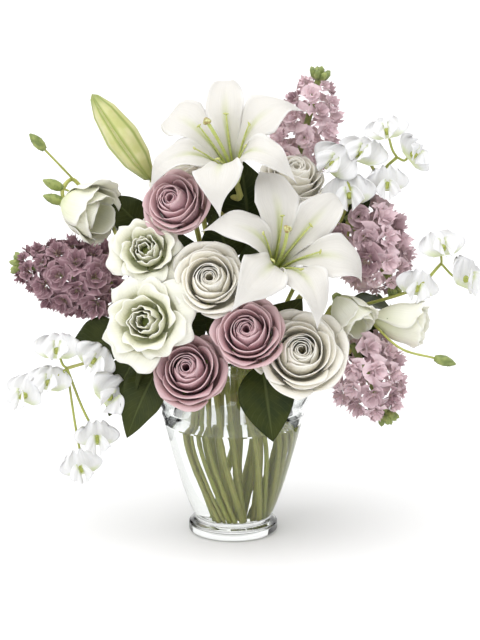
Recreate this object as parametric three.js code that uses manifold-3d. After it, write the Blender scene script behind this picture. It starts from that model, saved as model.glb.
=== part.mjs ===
// Cut lilies in a glass vase, with the roses, lisianthus, stock, sweet peas and leaves around them.
// Millimetres, +Z up. The origin is the middle of the vase's foot, on the surface it stands on.
// The front of the arrangement faces -Y.
import * as THREE from "three";
import { mergeVertices } from "three/addons/utils/BufferGeometryUtils.js";
import Module from "manifold-3d";

const wasm = await Module();
wasm.setup();

// ---------------------------------------------------------------- driving sizes

const CLEARANCE = 0.4; // gap kept between two pieces that rest against each other

const VASE = {
  height: 172,
  wall: 3,
  footRadius: 42,
  footHeight: 11,
  floorThickness: 14,
  waistRadius: 36,
  waistHeight: 16,
  bellyRadius: 72,
  bellyBelowRim: 38,
  neckRadius: 46,
  neckBelowRim: 14,
  rimRadius: 55,
};
const WATER_BELOW_RIM = 66;

// The stems stand as a twisted sheaf: spread in the neck, turned and spread again on the floor.
const SHEAF = {
  neckGap: 4, // from the outermost stems to the neck's inside
  footGap: 1,
  twist: THREE.MathUtils.degToRad(50),
  bow: 1.5, // how far the stems bow out in the belly, as a share of the straight way
  bowHeight: 92,
  fanBelowRim: 112, // where the stems seem to fan out from
  spread: 2, // how far out in the neck a stem stands for how much its way to its top leans
  rimGap: 5, // between the rim and what leans over it
  floorGap: 1.5, // from the vase's floor to the cut ends
  lead: 24, // the straight end of a stem that stands inside the rim
};

const LILY = {
  reach: 77, // from the axis to a tepal's tip
  depth: 61,
  innerWidth: 44,
  outerWidth: 34,
  thickness: 1.8,
  receptacleRadius: 6.2,
  pistil: 74,
  pistilRadius: 1.4,
  stigmaRadius: 3,
  filament: 56,
  filamentRadius: 1,
  stemRadius: 3,
};
const LILY_BUD = { length: 95, radius: 15.5, stemRadius: 2.3, hipSwell: 1.3 };
const ROSE = { depth: 46, hipRadius: 7, stemRadius: 2.6 };
const LISIANTHUS = { hipRadius: 4.5, stemRadius: 2, stalkRadius: 1.1, budLength: 21, budRadius: 4.8 };
const STOCK = { stemRadius: 2.7 };
const SWEET_PEA = { petalRadius: 14, petalThickness: 5, stemRadius: 1.5, stalkRadius: 1.1 };
const LEAF = { thickness: 1.2, twigRadius: 1.7, stalkRadius: 1.2, fold: 0.12, held: 0.06 };

// ---------------------------------------------------------------- materials

const skin = (color, roughness) => new THREE.MeshStandardMaterial({ color, roughness, metalness: 0 });
const MATERIALS = {
  glass: new THREE.MeshStandardMaterial({
    color: 0xeef3f4,
    roughness: 0.03,
    metalness: 0,
    transparent: true,
    opacity: 0.3,
  }),
  water: new THREE.MeshStandardMaterial({
    color: 0xe8f2f2,
    roughness: 0.02,
    metalness: 0,
    transparent: true,
    opacity: 0.2,
  }),
  lilyPetal: skin(0xf2f0ea, 0.45),
  stamen: skin(0xa9b750, 0.5),
  budSkin: skin(0xc9cf8c, 0.5),
  pinkPetal: skin(0xcba3ab, 0.6),
  creamPetal: skin(0xf1ecdc, 0.6),
  lisianthusPetal: skin(0xeeeedd, 0.6),
  stockPetal: skin(0xc39cb6, 0.65),
  sweetPeaPetal: skin(0xf6f6f8, 0.5),
  stem: skin(0x6f7f35, 0.5),
  leaf: skin(0x36461f, 0.4),
};

// ---------------------------------------------------------------- solids

const vec = (p) => new THREE.Vector3(...p);

// A closed geometry as a solid whose faces point outwards.
function solidOf(geometry) {
  const bare = new THREE.BufferGeometry().setAttribute("position", geometry.getAttribute("position"));
  if (geometry.index) bare.setIndex(geometry.index);
  const merged = mergeVertices(bare, 1e-3);
  const corners = merged.getAttribute("position").array;
  const triangles = new Uint32Array(merged.index.array);
  const mesh = { numProp: 3, vertProperties: corners, triVerts: triangles };
  const build = () => new wasm.Manifold(new wasm.Mesh(mesh));
  const made = build();
  if (made.volume() > 0) return made;
  for (let i = 0; i < triangles.length; i += 3) {
    [triangles[i + 1], triangles[i + 2]] = [triangles[i + 2], triangles[i + 1]];
  }
  return build();
}

function geometryOf(solid) {
  const mesh = solid.getMesh();
  const corners = new Float32Array(mesh.numVert * 3);
  for (let i = 0; i < mesh.numVert; i++) {
    corners.set(mesh.vertProperties.subarray(i * mesh.numProp, i * mesh.numProp + 3), i * 3);
  }
  const geometry = new THREE.BufferGeometry().setAttribute("position", new THREE.BufferAttribute(corners, 3));
  geometry.setIndex(new THREE.BufferAttribute(mesh.triVerts, 1));
  return geometry;
}

const joined = (solids) => solids.reduce((whole, next) => whole.add(next));

// A profile of [radius, height] points, from the underside's middle round to the top's, moved
// outwards by grow. Its ends stay on the axis.
function grownProfile(profile, grow) {
  const points = profile.map(([r, z]) => new THREE.Vector2(r, z));
  const normals = points.slice(1).map((point, i) => {
    const run = point.clone().sub(points[i]).normalize();
    return new THREE.Vector2(run.y, -run.x);
  });
  const last = points.length - 1;
  return points.map((point, i) => {
    const after = normals[Math.min(i, last - 1)];
    const out = normals[Math.max(0, i - 1)].clone().add(after).normalize();
    const reach = grow / Math.max(0.5, out.dot(after));
    return new THREE.Vector2(i % last ? point.x + reach * out.x : 0, point.y + reach * out.y);
  });
}

// A profile turned about Z, with its surface moved outwards by grow. ripple(angle, share) scales
// each radius, where share runs from 0 at the profile's lowest point to 1 at its highest.
function turned(profile, segments, grow = 0, ripple = () => 1) {
  const geometry = new THREE.LatheGeometry(grownProfile(profile, grow), segments).rotateX(Math.PI / 2);
  const heights = profile.map(([, z]) => z);
  const low = Math.min(...heights);
  const span = Math.max(...heights) - low;
  const at = geometry.getAttribute("position");
  for (let i = 0; i < at.count; i++) {
    const scale = ripple(Math.atan2(at.getY(i), at.getX(i)), (at.getZ(i) - low) / span);
    at.setXY(i, at.getX(i) * scale, at.getY(i) * scale);
  }
  return geometry;
}

const STEM_STEPS = 8; // straight lengths that a stem's line is drawn in

// A curve whose steps fall on its own points, not at even lengths.
class SteppedCurve extends THREE.CatmullRomCurve3 {
  getUtoTmapping(share) {
    return share;
  }
}

// A round bar along a curve.
function bar(curve, radius, sides = 6, steps = STEM_STEPS) {
  const section = new THREE.Shape(
    Array.from({ length: sides }, (_, i) => {
      const angle = (2 * Math.PI * i) / sides;
      return new THREE.Vector2(radius * Math.cos(angle), radius * Math.sin(angle));
    }),
  );
  return new THREE.ExtrudeGeometry(section, { steps, bevelEnabled: false, extrudePath: curve });
}

// A sheet with a thickness: surface(along, across) gives points for along 0..1 and across -1..1.
// over is how far the sheet goes past each end, as a share of its length.
function sheet(surface, thickness, rows, columns, over) {
  const step = 1e-3;
  const corners = [];
  for (const side of [0.5, -0.5]) {
    for (let i = 0; i <= rows; i++) {
      for (let j = 0; j <= columns; j++) {
        const [along, across] = [(i / rows) * (1 + 2 * over) - over, (2 * j) / columns - 1];
        const here = surface(along, across);
        const lengthwise = surface(along + step, across).sub(surface(along - step, across));
        const crosswise = surface(along, across + step).sub(surface(along, across - step));
        const normal = lengthwise.cross(crosswise).normalize();
        corners.push(...here.addScaledVector(normal, side * thickness).toArray());
      }
    }
  }
  const top = (i, j) => i * (columns + 1) + j;
  const under = (i, j) => top(i, j) + (rows + 1) * (columns + 1);
  const faces = [];
  const quad = (a, b, c, d) => faces.push(a, b, c, a, c, d);
  for (let i = 0; i < rows; i++) {
    for (let j = 0; j < columns; j++) {
      quad(top(i, j), top(i + 1, j), top(i + 1, j + 1), top(i, j + 1));
      quad(under(i, j), under(i, j + 1), under(i + 1, j + 1), under(i + 1, j));
    }
    quad(top(i, 0), under(i, 0), under(i + 1, 0), top(i + 1, 0));
    quad(top(i, columns), top(i + 1, columns), under(i + 1, columns), under(i, columns));
  }
  for (let j = 0; j < columns; j++) {
    quad(top(0, j), top(0, j + 1), under(0, j + 1), under(0, j));
    quad(top(rows, j), under(rows, j), under(rows, j + 1), top(rows, j + 1));
  }
  const geometry = new THREE.BufferGeometry();
  geometry.setAttribute("position", new THREE.Float32BufferAttribute(corners, 3));
  return geometry.setIndex(faces);
}

// A rounded lump, stretched by scale, at a point.
function lump(radius, at, scale = [1, 1, 1], turn = new THREE.Quaternion()) {
  return new THREE.SphereGeometry(radius, 6, 4)
    .rotateX(Math.PI / 2)
    .scale(...scale)
    .applyQuaternion(turn)
    .translate(...at);
}

// ---------------------------------------------------------------- placing and fitting

// Places are measured from the middle of the vase's rim: [right, back, up].
const fromRim = ([x, y, up]) => new THREE.Vector3(x, y, VASE.height + up);

// A frame whose +Z looks along facing. Its origin lies middle behind the place at.
function placeAt(at, facing, middle = 0) {
  const look = vec(facing).normalize();
  const frame = new THREE.Object3D();
  frame.quaternion.setFromUnitVectors(new THREE.Vector3(0, 0, 1), look);
  frame.position.copy(fromRim(at)).addScaledVector(look, -middle);
  frame.updateMatrix();
  return { position: frame.position, quaternion: frame.quaternion, matrix: frame.matrix, look };
}
const STANDING = placeAt([0, 0, -VASE.height], [0, 0, 1]);

const arrangement = new THREE.Group();
const placed = []; // the room that each piece takes, in the order in which the pieces were fitted

const boxesMeet = (a, b) => [0, 1, 2].every((k) => a.min[k] < b.max[k] && b.min[k] < a.max[k]);

// Adds a piece. make(grow) lists the geometries that it is joined from, with every surface moved
// outwards by grow. Earlier pieces hold their room: where a piece presses on one of them, it is cut
// back to the clearance.
function add(name, material, make, place = STANDING) {
  const build = (grow) => joined(make(grow).map((g) => solidOf(g.clone().applyMatrix4(place.matrix))));
  let solid = build(0);
  const box = solid.boundingBox();
  for (const room of placed) {
    if (boxesMeet(box, room.boundingBox())) solid = solid.subtract(room);
  }
  const [main] = solid.decompose().sort((a, b) => b.volume() - a.volume());
  placed.push(build(CLEARANCE));
  const mesh = new THREE.Mesh(geometryOf(main), material);
  mesh.geometry.applyMatrix4(place.matrix.clone().invert());
  mesh.position.copy(place.position);
  mesh.quaternion.copy(place.quaternion);
  mesh.name = name;
  arrangement.add(mesh);
}

const blooms = []; // each function fits one bloom, once all the stems stand

// ---------------------------------------------------------------- vase

const ROUND = 20; // flat facets round the vase
const BODY_STEPS = 8;
const BODY_SWELL = 0.8; // below 1, the body swells out early, as a wine glass does
const FOOT_EDGE = 3.5; // how far the foot's edge is rounded
const FLOOR_FILLET = 5;
const LIP = 1;
// The bend of the shoulder, as shares of the way out from the neck and of the way up from the belly.
const SHOULDER = { out: 0.72, up: 0.6 };
const FILLET_START = 1; // the body's inside ends this far above the floor
const bellyHeight = VASE.height - VASE.bellyBelowRim;
const neckHeight = VASE.height - VASE.neckBelowRim;

const bodyCurve = new THREE.SplineCurve([
  ...[0, 0.15, 0.4, 0.7, 1].map(
    (share) =>
      new THREE.Vector2(
        VASE.waistRadius + (VASE.bellyRadius - VASE.waistRadius) * share ** BODY_SWELL,
        VASE.waistHeight + (bellyHeight - VASE.waistHeight) * share,
      ),
  ),
  new THREE.Vector2(
    VASE.neckRadius + SHOULDER.out * (VASE.bellyRadius - VASE.neckRadius),
    bellyHeight + SHOULDER.up * (neckHeight - bellyHeight),
  ),
  new THREE.Vector2(VASE.neckRadius, neckHeight),
  new THREE.Vector2(VASE.rimRadius, VASE.height),
]);

// The body's inside, from its top down: the outside moved inwards by depth.
function insideProfile(depth) {
  return Array.from({ length: BODY_STEPS + 1 }, (_, i) => {
    const share = 1 - i / BODY_STEPS;
    const tangent = bodyCurve.getTangent(share);
    const point = bodyCurve.getPoint(share);
    return [point.x - depth * tangent.y, point.y + depth * tangent.x];
  }).filter(([, z]) => z > VASE.floorThickness + FILLET_START);
}

const floorRadius = VASE.waistRadius - VASE.wall - FLOOR_FILLET;

const vaseProfile = [
  [0, 0],
  [VASE.footRadius - FOOT_EDGE, 0],
  [VASE.footRadius, FOOT_EDGE],
  [VASE.footRadius, VASE.footHeight - FOOT_EDGE],
  [VASE.footRadius - FOOT_EDGE, VASE.footHeight],
  ...bodyCurve.getPoints(BODY_STEPS).map((p) => [p.x, p.y]),
  [VASE.rimRadius - VASE.wall / 2, VASE.height + LIP],
  ...insideProfile(VASE.wall),
  [floorRadius, VASE.floorThickness],
  [0, VASE.floorThickness],
];
add("glass_vase", MATERIALS.glass, (grow) => [turned(vaseProfile, ROUND, grow)]);

// ---------------------------------------------------------------- stems

const stems = [];

// Lists a stem that ends at top, pointing along look. parts(line, grow) gives what it carries.
// Its slot is the way to its top from where the stems fan out, seen from above.
function listStem(name, material, radius, top, look, parts, fitsLast = false) {
  const fan = top.clone().sub(fromRim([0, 0, -SHEAF.fanBelowRim])).normalize();
  const slot = new THREE.Vector2(fan.x, fan.y).multiplyScalar(SHEAF.spread).clampLength(0, 1);
  stems.push({ name, material, radius, top, look, parts, fitsLast, slot });
}

const neckReach = (radius) => VASE.neckRadius - VASE.wall - SHEAF.neckGap - radius;
const footReach = (radius) => floorRadius - SHEAF.footGap - radius;

// Moves the slots apart until the stems pass each other on the floor, where the sheaf is narrowest.
function spreadSlots(rounds = 300) {
  for (let round = 0; round < rounds; round++) {
    for (const [i, a] of stems.entries()) {
      for (const b of stems.slice(i + 1)) {
        const apart = b.slot.clone().sub(a.slot);
        const room = a.radius + b.radius + 2 * CLEARANCE;
        const short = room / footReach(Math.max(a.radius, b.radius)) - apart.length();
        if (short > 0) {
          apart.setLength(short / 2);
          a.slot.sub(apart);
          b.slot.add(apart);
        }
      }
      a.slot.clampLength(0, 1);
    }
  }
}

// A stem's line, from its cut end on the vase's floor to its top.
function stemLine({ slot, radius, top, look }) {
  const cut = slot.clone().rotateAround(new THREE.Vector2(), SHEAF.twist).multiplyScalar(footReach(radius));
  const neck = slot.clone().multiplyScalar(neckReach(radius));
  const rise = (SHEAF.bowHeight - VASE.floorThickness) / (neckHeight - VASE.floorThickness);
  const bowed = cut.clone().lerp(neck, rise).multiplyScalar(SHEAF.bow);
  const out = new THREE.Vector2(top.x, top.y);
  const climb = (VASE.height - neckHeight) / Math.max(top.z - neckHeight, 1);
  const atRim = neck.clone().lerp(out, Math.min(climb, 1)).length();
  const leans = atRim > VASE.rimRadius - VASE.wall - SHEAF.rimGap - radius;
  const overRim = out.setLength(VASE.rimRadius);
  const turn = leans
    ? fromRim([overRim.x, overRim.y, LIP + SHEAF.rimGap + radius])
    : top.clone().addScaledVector(look, -SHEAF.lead);
  return new SteppedCurve([
    new THREE.Vector3(cut.x, cut.y, VASE.floorThickness + SHEAF.floorGap),
    new THREE.Vector3(bowed.x, bowed.y, SHEAF.bowHeight),
    new THREE.Vector3(neck.x, neck.y, neckHeight),
    turn,
    top,
  ]);
}

// The swelling that holds a bloom. Its middle lies behind the bloom's base.
const HIP_HEIGHT = 0.8; // as a share of its radius
const HIP_SWELL = 1.2; // how much wider than the stem it is on a lily and on stock
const hipCentre = (place, radius) =>
  place.position.clone().addScaledVector(place.look, -radius * HIP_HEIGHT - CLEARANCE);
const hip = (place, radius, grow) =>
  lump(radius + grow, hipCentre(place, radius).toArray(), [1, 1, HIP_HEIGHT], place.quaternion);

// A stem that ends under a bloom.
function listStemUnder(name, place, radius, hipRadius, more = () => []) {
  listStem(name, MATERIALS.stem, radius, hipCentre(place, hipRadius), place.look, (line, grow) => [
    hip(place, hipRadius, grow),
    ...more(line, grow),
  ]);
}

// Where a side shoot leaves a stem: a corner of its line, counted from its cut end.
const jointOf = (line, joint) => line.getPointAt(joint / STEM_STEPS);

// A side shoot that ends under a bloom.
function bloomShoot(joint, knee, place, radius, hipRadius) {
  return (line, grow) => {
    const way = [jointOf(line, joint), fromRim(knee), hipCentre(place, hipRadius)];
    return [bar(new THREE.CatmullRomCurve3(way), radius + grow, 6, 5), hip(place, hipRadius, grow)];
  };
}

// ---------------------------------------------------------------- lilies

const tepalRoot = new THREE.Vector2(LILY.receptacleRadius + LILY.thickness / 2 + CLEARANCE, 0);
const tepalLine = new THREE.SplineCurve([
  tepalRoot,
  ...[
    [0.21, 0.52],
    [0.46, 0.9],
    [0.78, 1],
    [1, 0.82],
  ].map(([out, up]) => new THREE.Vector2(out * LILY.reach, up * LILY.depth)),
]);

// One tepal, leaning out along +X: a spoon that is folded along its middle near the throat.
function tepalSheet(width, grow) {
  const folded = 0.25; // how deep the fold is at the throat, as a share of the half width
  const widest = 0.48; // the most half width, as a share of the way out from the axis
  const surface = (along, across) => {
    const share = THREE.MathUtils.clamp(along, 0, 1);
    const spine = tepalLine.getPoint(share);
    const half = Math.min(
      (width / 2) * Math.sin(Math.PI * (0.1 + 0.88 * share)) ** 0.8,
      widest * spine.x,
    );
    const trough = folded * half * across * across * (1 - 1.4 * share);
    const past = tepalLine.getTangent(share).multiplyScalar((along - share) * LILY.reach);
    return new THREE.Vector3(
      spine.x + past.x - trough,
      (half + grow) * across,
      spine.y + past.y + trough * 0.8,
    );
  };
  return sheet(surface, LILY.thickness + 2 * grow, 6, 2, grow / LILY.reach);
}

const FILAMENT_RING = 3.2; // the radius of the ring that the filaments grow from
const FILAMENT_SPREAD = 0.4; // how far out a filament's tip leans, as a share of its length

function lily(name, at, facing, roll, more) {
  const place = placeAt(at, facing);
  const upright = new THREE.Vector3(0, 0, 1);
  for (let i = 0; i < 6; i++) {
    const turn = new THREE.Matrix4().makeRotationAxis(upright, roll + (i * Math.PI) / 3);
    const width = i % 2 ? LILY.outerWidth : LILY.innerWidth;
    const make = (grow) => [tepalSheet(width, grow).applyMatrix4(turn)];
    blooms.push(() => add(`${name}_tepal_${i + 1}`, MATERIALS.lilyPetal, make, place));
  }
  const stamens = (grow) => {
    const pistil = new THREE.LineCurve3(new THREE.Vector3(0, 0, -2), new THREE.Vector3(0, 0, LILY.pistil));
    const filaments = Array.from({ length: 6 }, (_, i) => {
      const angle = roll + ((i + 0.5) * Math.PI) / 3;
      const outward = new THREE.Vector3(Math.cos(angle), Math.sin(angle), 0);
      const bent = [0, 0.5, 1].map((share) =>
        outward
          .clone()
          .multiplyScalar(FILAMENT_RING + LILY.filament * FILAMENT_SPREAD * share ** 1.5)
          .setZ(LILY.filament * share),
      );
      return bar(new THREE.CatmullRomCurve3(bent), LILY.filamentRadius + grow, 4, 2);
    });
    return [
      lump(LILY.receptacleRadius + grow, [0, 0, 0]),
      bar(pistil, LILY.pistilRadius + grow, 5, 1),
      lump(LILY.stigmaRadius + grow, [0, 0, LILY.pistil]),
      ...filaments,
    ];
  };
  blooms.push(() => add(`${name}_stamens`, MATERIALS.stamen, stamens, place));
  const seat = placeAt(at, facing, LILY.receptacleRadius);
  listStemUnder(`${name}_stem`, seat, LILY.stemRadius, LILY.stemRadius * HIP_SWELL, more);
}

function budProfile(length, radius) {
  const outline = [
    [0, 0],
    [0.32, 0.02],
    [0.86, 0.26],
    [1, 0.5],
    [0.72, 0.8],
    [0.16, 0.99],
    [0, 1],
  ];
  return outline.map(([out, up]) => [out * radius, up * length]);
}
const lilyBudPlace = placeAt([-74, -18, 165], [-0.56, 0, 0.83]);
const lilyBud = (grow) => [
  turned(budProfile(LILY_BUD.length, LILY_BUD.radius), 12, grow, (angle) => 1 + 0.06 * Math.cos(3 * angle)),
];
blooms.push(() => add("lily_bud", MATERIALS.budSkin, lilyBud, lilyBudPlace));

lily("front_lily", [37, -64, 94], [0.28, -0.75, 0.6], THREE.MathUtils.degToRad(-1));
lily(
  "upper_lily",
  [0, -30, 173],
  [-0.2, -0.62, 0.76],
  THREE.MathUtils.degToRad(20),
  bloomShoot(6, [-38, 8, 142], lilyBudPlace, LILY_BUD.stemRadius, LILY_BUD.stemRadius * LILY_BUD.hipSwell),
);

// ---------------------------------------------------------------- roses

const BLOOM_SIDES = 12;

// A cup of petals with ring grooves between its turns. Radii are shares of the bloom's radius and
// heights are shares of its depth.
const ROSE_RINGS = [
  [0, 0],
  [0.2, 0],
  [0.68, 0.14],
  [0.95, 0.46],
  [1, 0.8],
  [0.76, 0.76],
  [0.64, 0.96],
  [0.4, 0.84],
  [0.3, 1],
  [0, 0.93],
];
const OPENING = 0.66; // where a bloom is widest, as a share of its depth

const ringed = (rings, radius, depth) => rings.map(([out, up]) => [out * radius, up * depth]);

function rose(name, radius, at, facing, petal) {
  const place = placeAt(at, facing, OPENING * ROSE.depth);
  const corners = (angle, share) => 1 + 0.05 * share * Math.cos(5 * angle);
  const make = (grow) => [turned(ringed(ROSE_RINGS, radius, ROSE.depth), BLOOM_SIDES, grow, corners)];
  blooms.push(() => add(`${name}_bloom`, petal, make, place));
  listStemUnder(`${name}_stem`, place, ROSE.stemRadius, ROSE.hipRadius);
}

rose("pink_rose_1", 31, [-52, -60, 152], [-0.3, -0.8, 0.5], MATERIALS.pinkPetal);
rose("pink_rose_2", 35, [-40, -94, 6], [-0.1, -0.87, 0.48], MATERIALS.pinkPetal);
rose("pink_rose_3", 33, [13, -108, 44], [-0.12, -0.85, 0.5], MATERIALS.pinkPetal);
rose("white_rose_1", 33, [-22, -88, 90], [-0.12, -0.85, 0.5], MATERIALS.creamPetal);
rose("white_rose_2", 36, [66, -94, 20], [0.24, -0.9, 0.36], MATERIALS.creamPetal);
rose("white_rose_3", 30, [56, -10, 168], [0.15, -0.55, 0.82], MATERIALS.creamPetal);
rose("white_rose_4", 30, [-46, 10, 176], [-0.3, -0.35, 0.89], MATERIALS.creamPetal);

// ---------------------------------------------------------------- lisianthus

const OPEN_RINGS = [
  [0, 0],
  [0.16, 0],
  [0.5, 0.3],
  [0.9, 0.72],
  [1, 0.9],
  [0.84, 0.98],
  [0.56, 0.7],
  [0.44, 0.94],
  [0.2, 0.72],
  [0, 0.9],
];
const BELL_RINGS = [
  [0, 0],
  [0.2, 0],
  [0.62, 0.28],
  [0.84, 0.66],
  [1, 0.98],
  [0.86, 1],
  [0.62, 0.62],
  [0.3, 0.5],
  [0, 0.6],
];
const ruffle = (angle, share) => 1 + 0.07 * share * Math.cos(6 * angle) + 0.04 * share * Math.sin(5 * angle);

function lisianthusBloom(name, rings, radius, depth, at, facing) {
  const place = placeAt(at, facing, OPENING * depth);
  const make = (grow) => [turned(ringed(rings, radius, depth), BLOOM_SIDES, grow, ruffle)];
  blooms.push(() => add(`${name}_bloom`, MATERIALS.lisianthusPetal, make, place));
  return place;
}

// A side shoot that ends in a bud of its own.
function budShoot(joint, knee, tip) {
  return (line, grow) => {
    const end = fromRim(tip);
    const look = end.clone().sub(fromRim(knee)).normalize();
    const bud = new THREE.Object3D();
    bud.quaternion.setFromUnitVectors(new THREE.Vector3(0, 0, 1), look);
    bud.position.copy(end).addScaledVector(look, -LISIANTHUS.stalkRadius);
    bud.updateMatrix();
    const stalk = new THREE.CatmullRomCurve3([jointOf(line, joint), fromRim(knee), end]);
    return [
      bar(stalk, LISIANTHUS.stalkRadius + grow, 4, 3),
      turned(budProfile(LISIANTHUS.budLength, LISIANTHUS.budRadius), 6, grow).applyMatrix4(bud.matrix),
    ];
  };
}

const openBloom = (name, ...sizes) => lisianthusBloom(name, OPEN_RINGS, ...sizes);
const bellBloom = (name, ...sizes) => lisianthusBloom(name, BELL_RINGS, ...sizes);
const lisianthus1 = openBloom("lisianthus_1", 30, 38, [-80, -72, 108], [-0.2, -0.93, 0.3]);
const lisianthus2 = openBloom("lisianthus_2", 41, 42, [-79, -100, 52], [-0.25, -0.93, 0.25]);
const lisianthus3 = bellBloom("lisianthus_3", 24, 50, [-133, -20, 139], [-0.7, -0.12, 0.7]);
const lisianthus4 = bellBloom("lisianthus_4", 22, 52, [164, -48, 37], [0.98, -0.15, -0.12]);
const lisianthus5 = bellBloom("lisianthus_5", 20, 40, [111, -66, 45], [0.55, -0.55, -0.62]);

function lisianthusStem(name, place, shoots) {
  listStemUnder(name, place, LISIANTHUS.stemRadius, LISIANTHUS.hipRadius, (line, grow) =>
    shoots.flatMap((shoot) => shoot(line, grow)),
  );
}
lisianthusStem("lisianthus_1_stem", lisianthus1, []);
lisianthusStem("lisianthus_2_stem", lisianthus2, []);
lisianthusStem("lisianthus_3_stem", lisianthus3, [
  budShoot(7, [-138, 14, 150], [-173, 4, 190]),
  budShoot(7, [-128, 10, 140], [-157, 2, 154]),
  budShoot(6, [-118, 8, 128], [-156, -2, 142]),
]);
lisianthusStem("lisianthus_4_stem", lisianthus4, [
  budShoot(7, [150, -78, 22], [182, -76, 12]),
  bloomShoot(6, [98, -44, 60], lisianthus5, LISIANTHUS.stemRadius, LISIANTHUS.hipRadius),
]);

// ---------------------------------------------------------------- stock

// A spike of double florets, which swells and shrinks once a ring and ends in buds at its tip.
const STOCK_RINGS = [0, 0.3, 0.85, 0.62, 1, 0.72, 1, 0.7, 0.9, 0.6, 0.72, 0.42, 0.48, 0];
const FLORETS_ROUND = 4;

function stock(name, root, tip, width) {
  const axis = vec(tip).sub(vec(root));
  const place = placeAt(root, axis.toArray());
  const knobs = (angle, share) => 1 + 0.14 * Math.cos(FLORETS_ROUND * (angle + 2 * share));
  const outline = STOCK_RINGS.map((out, i) => [
    (out * width) / 2,
    (Math.max(0, i - 1) / (STOCK_RINGS.length - 1.4)) * axis.length(),
  ]);
  const spike = (grow) => [turned(outline, BLOOM_SIDES, grow, knobs)];
  blooms.push(() => add(`${name}_spike`, MATERIALS.stockPetal, spike, place));
  listStemUnder(`${name}_stem`, place, STOCK.stemRadius, STOCK.stemRadius * HIP_SWELL);
}

stock("left_stock", [-108, -22, 68], [-204, -20, 90], 74);
stock("top_stock", [60, 38, 172], [80, 8, 264], 54);
stock("right_stock", [102, -20, 84], [168, -26, 108], 76);
stock("low_stock", [102, -46, 8], [154, -60, -48], 66);

// ---------------------------------------------------------------- sweet peas

// One flower: a rounded banner petal, flat behind, with the keel as a boss in front of it.
function sweetPea(at, facing, grow) {
  const { petalRadius: wide, petalThickness: thick } = SWEET_PEA;
  const outline = [
    [0, 0],
    [0.5 * wide, 0],
    [wide, 0.5 * thick],
    [0.45 * wide, 1.2 * thick],
    [0, 2.5 * thick],
  ];
  return turned(outline, 7, grow).applyMatrix4(placeAt(at, facing).matrix);
}

// A stem with its flowers, each on a short stalk: [its place, its facing, the joint it leaves from].
function sweetPeaStem(name, top, look, flowers) {
  const carried = (line, grow) =>
    flowers.flatMap(([at, facing, joint]) => [
      bar(new THREE.LineCurve3(jointOf(line, joint), fromRim(at)), SWEET_PEA.stalkRadius + grow, 4, 1),
      sweetPea(at, facing, grow),
    ]);
  listStem(name, MATERIALS.sweetPeaPetal, SWEET_PEA.stemRadius, fromRim(top), vec(look).normalize(), carried);
}

sweetPeaStem("upper_sweet_pea", [150, -4, 184], [0.7, 0, 0.7], [
  [[163, -8, 186], [0.5, -0.8, 0.2], 8],
  [[140, -16, 208], [-0.2, -0.9, 0.4], 8],
  [[118, -12, 186], [-0.3, -0.8, 0.5], 7],
  [[139, -22, 162], [0.1, -0.9, -0.3], 7],
  [[92, -14, 178], [-0.4, -0.8, 0.3], 7],
  [[106, -26, 152], [-0.1, -0.9, 0], 7],
]);
sweetPeaStem("right_sweet_pea", [190, -28, 90], [0.95, 0, 0.3], [
  [[190, -32, 104], [0.2, -0.9, 0.4], 8],
  [[166, -42, 70], [0.1, -0.95, -0.2], 7],
  [[210, -30, 76], [0.7, -0.6, -0.1], 8],
]);
sweetPeaStem("left_sweet_pea", [-150, -62, 0], [-0.95, 0, -0.2], [
  [[-166, -64, -14], [-0.2, -0.9, 0.3], 8],
  [[-188, -58, -26], [-0.6, -0.7, -0.2], 8],
  [[-158, -66, 16], [-0.1, -0.9, 0.4], 8],
  [[-126, -68, 8], [0.1, -0.95, 0.1], 7],
  [[-112, -72, -24], [0.2, -0.9, -0.1], 7],
  [[-124, -62, -66], [0.1, -0.9, -0.3], 7],
  [[-138, -60, -94], [0, -0.9, -0.3], 7],
]);

// ---------------------------------------------------------------- leaves

// A pointed oval leaf from its base to its tip, bent by droop along its length.
function leafSheet(base, tip, width, face, droop, grow) {
  const start = fromRim(base);
  const along = fromRim(tip).sub(start);
  const length = along.length();
  along.normalize();
  const across = new THREE.Vector3().crossVectors(vec(face), along).normalize();
  const up = new THREE.Vector3().crossVectors(along, across).normalize();
  const surface = (share, side) => {
    const kept = THREE.MathUtils.clamp(share, 0, 1);
    const half = (width / 2) * (0.05 + 0.95 * Math.sin(Math.PI * kept ** 0.8) ** 0.9) + grow;
    return start
      .clone()
      .addScaledVector(along, share * length)
      .addScaledVector(across, side * half)
      .addScaledVector(up, droop * Math.sin(Math.PI * kept) - LEAF.fold * half * (1 - side * side));
  };
  return sheet(surface, LEAF.thickness + 2 * grow, 4, 2, grow / length);
}

// A leafy twig. Its leaves are [base, tip, width, the way the upper side faces, how far it bows,
// the joint that the leaf's stalk leaves from].
function spray(name, top, look, leaves) {
  const carried = (line, grow) =>
    leaves.flatMap(([base, tip, width, face, bow, joint]) => {
      const held = fromRim(base).lerp(fromRim(tip), LEAF.held);
      return [
        bar(new THREE.LineCurve3(jointOf(line, joint), held), LEAF.stalkRadius + grow, 4, 1),
        leafSheet(base, tip, width, face, bow, grow),
      ];
    });
  listStem(name, MATERIALS.leaf, LEAF.twigRadius, fromRim(top), vec(look).normalize(), carried, true);
}

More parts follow.
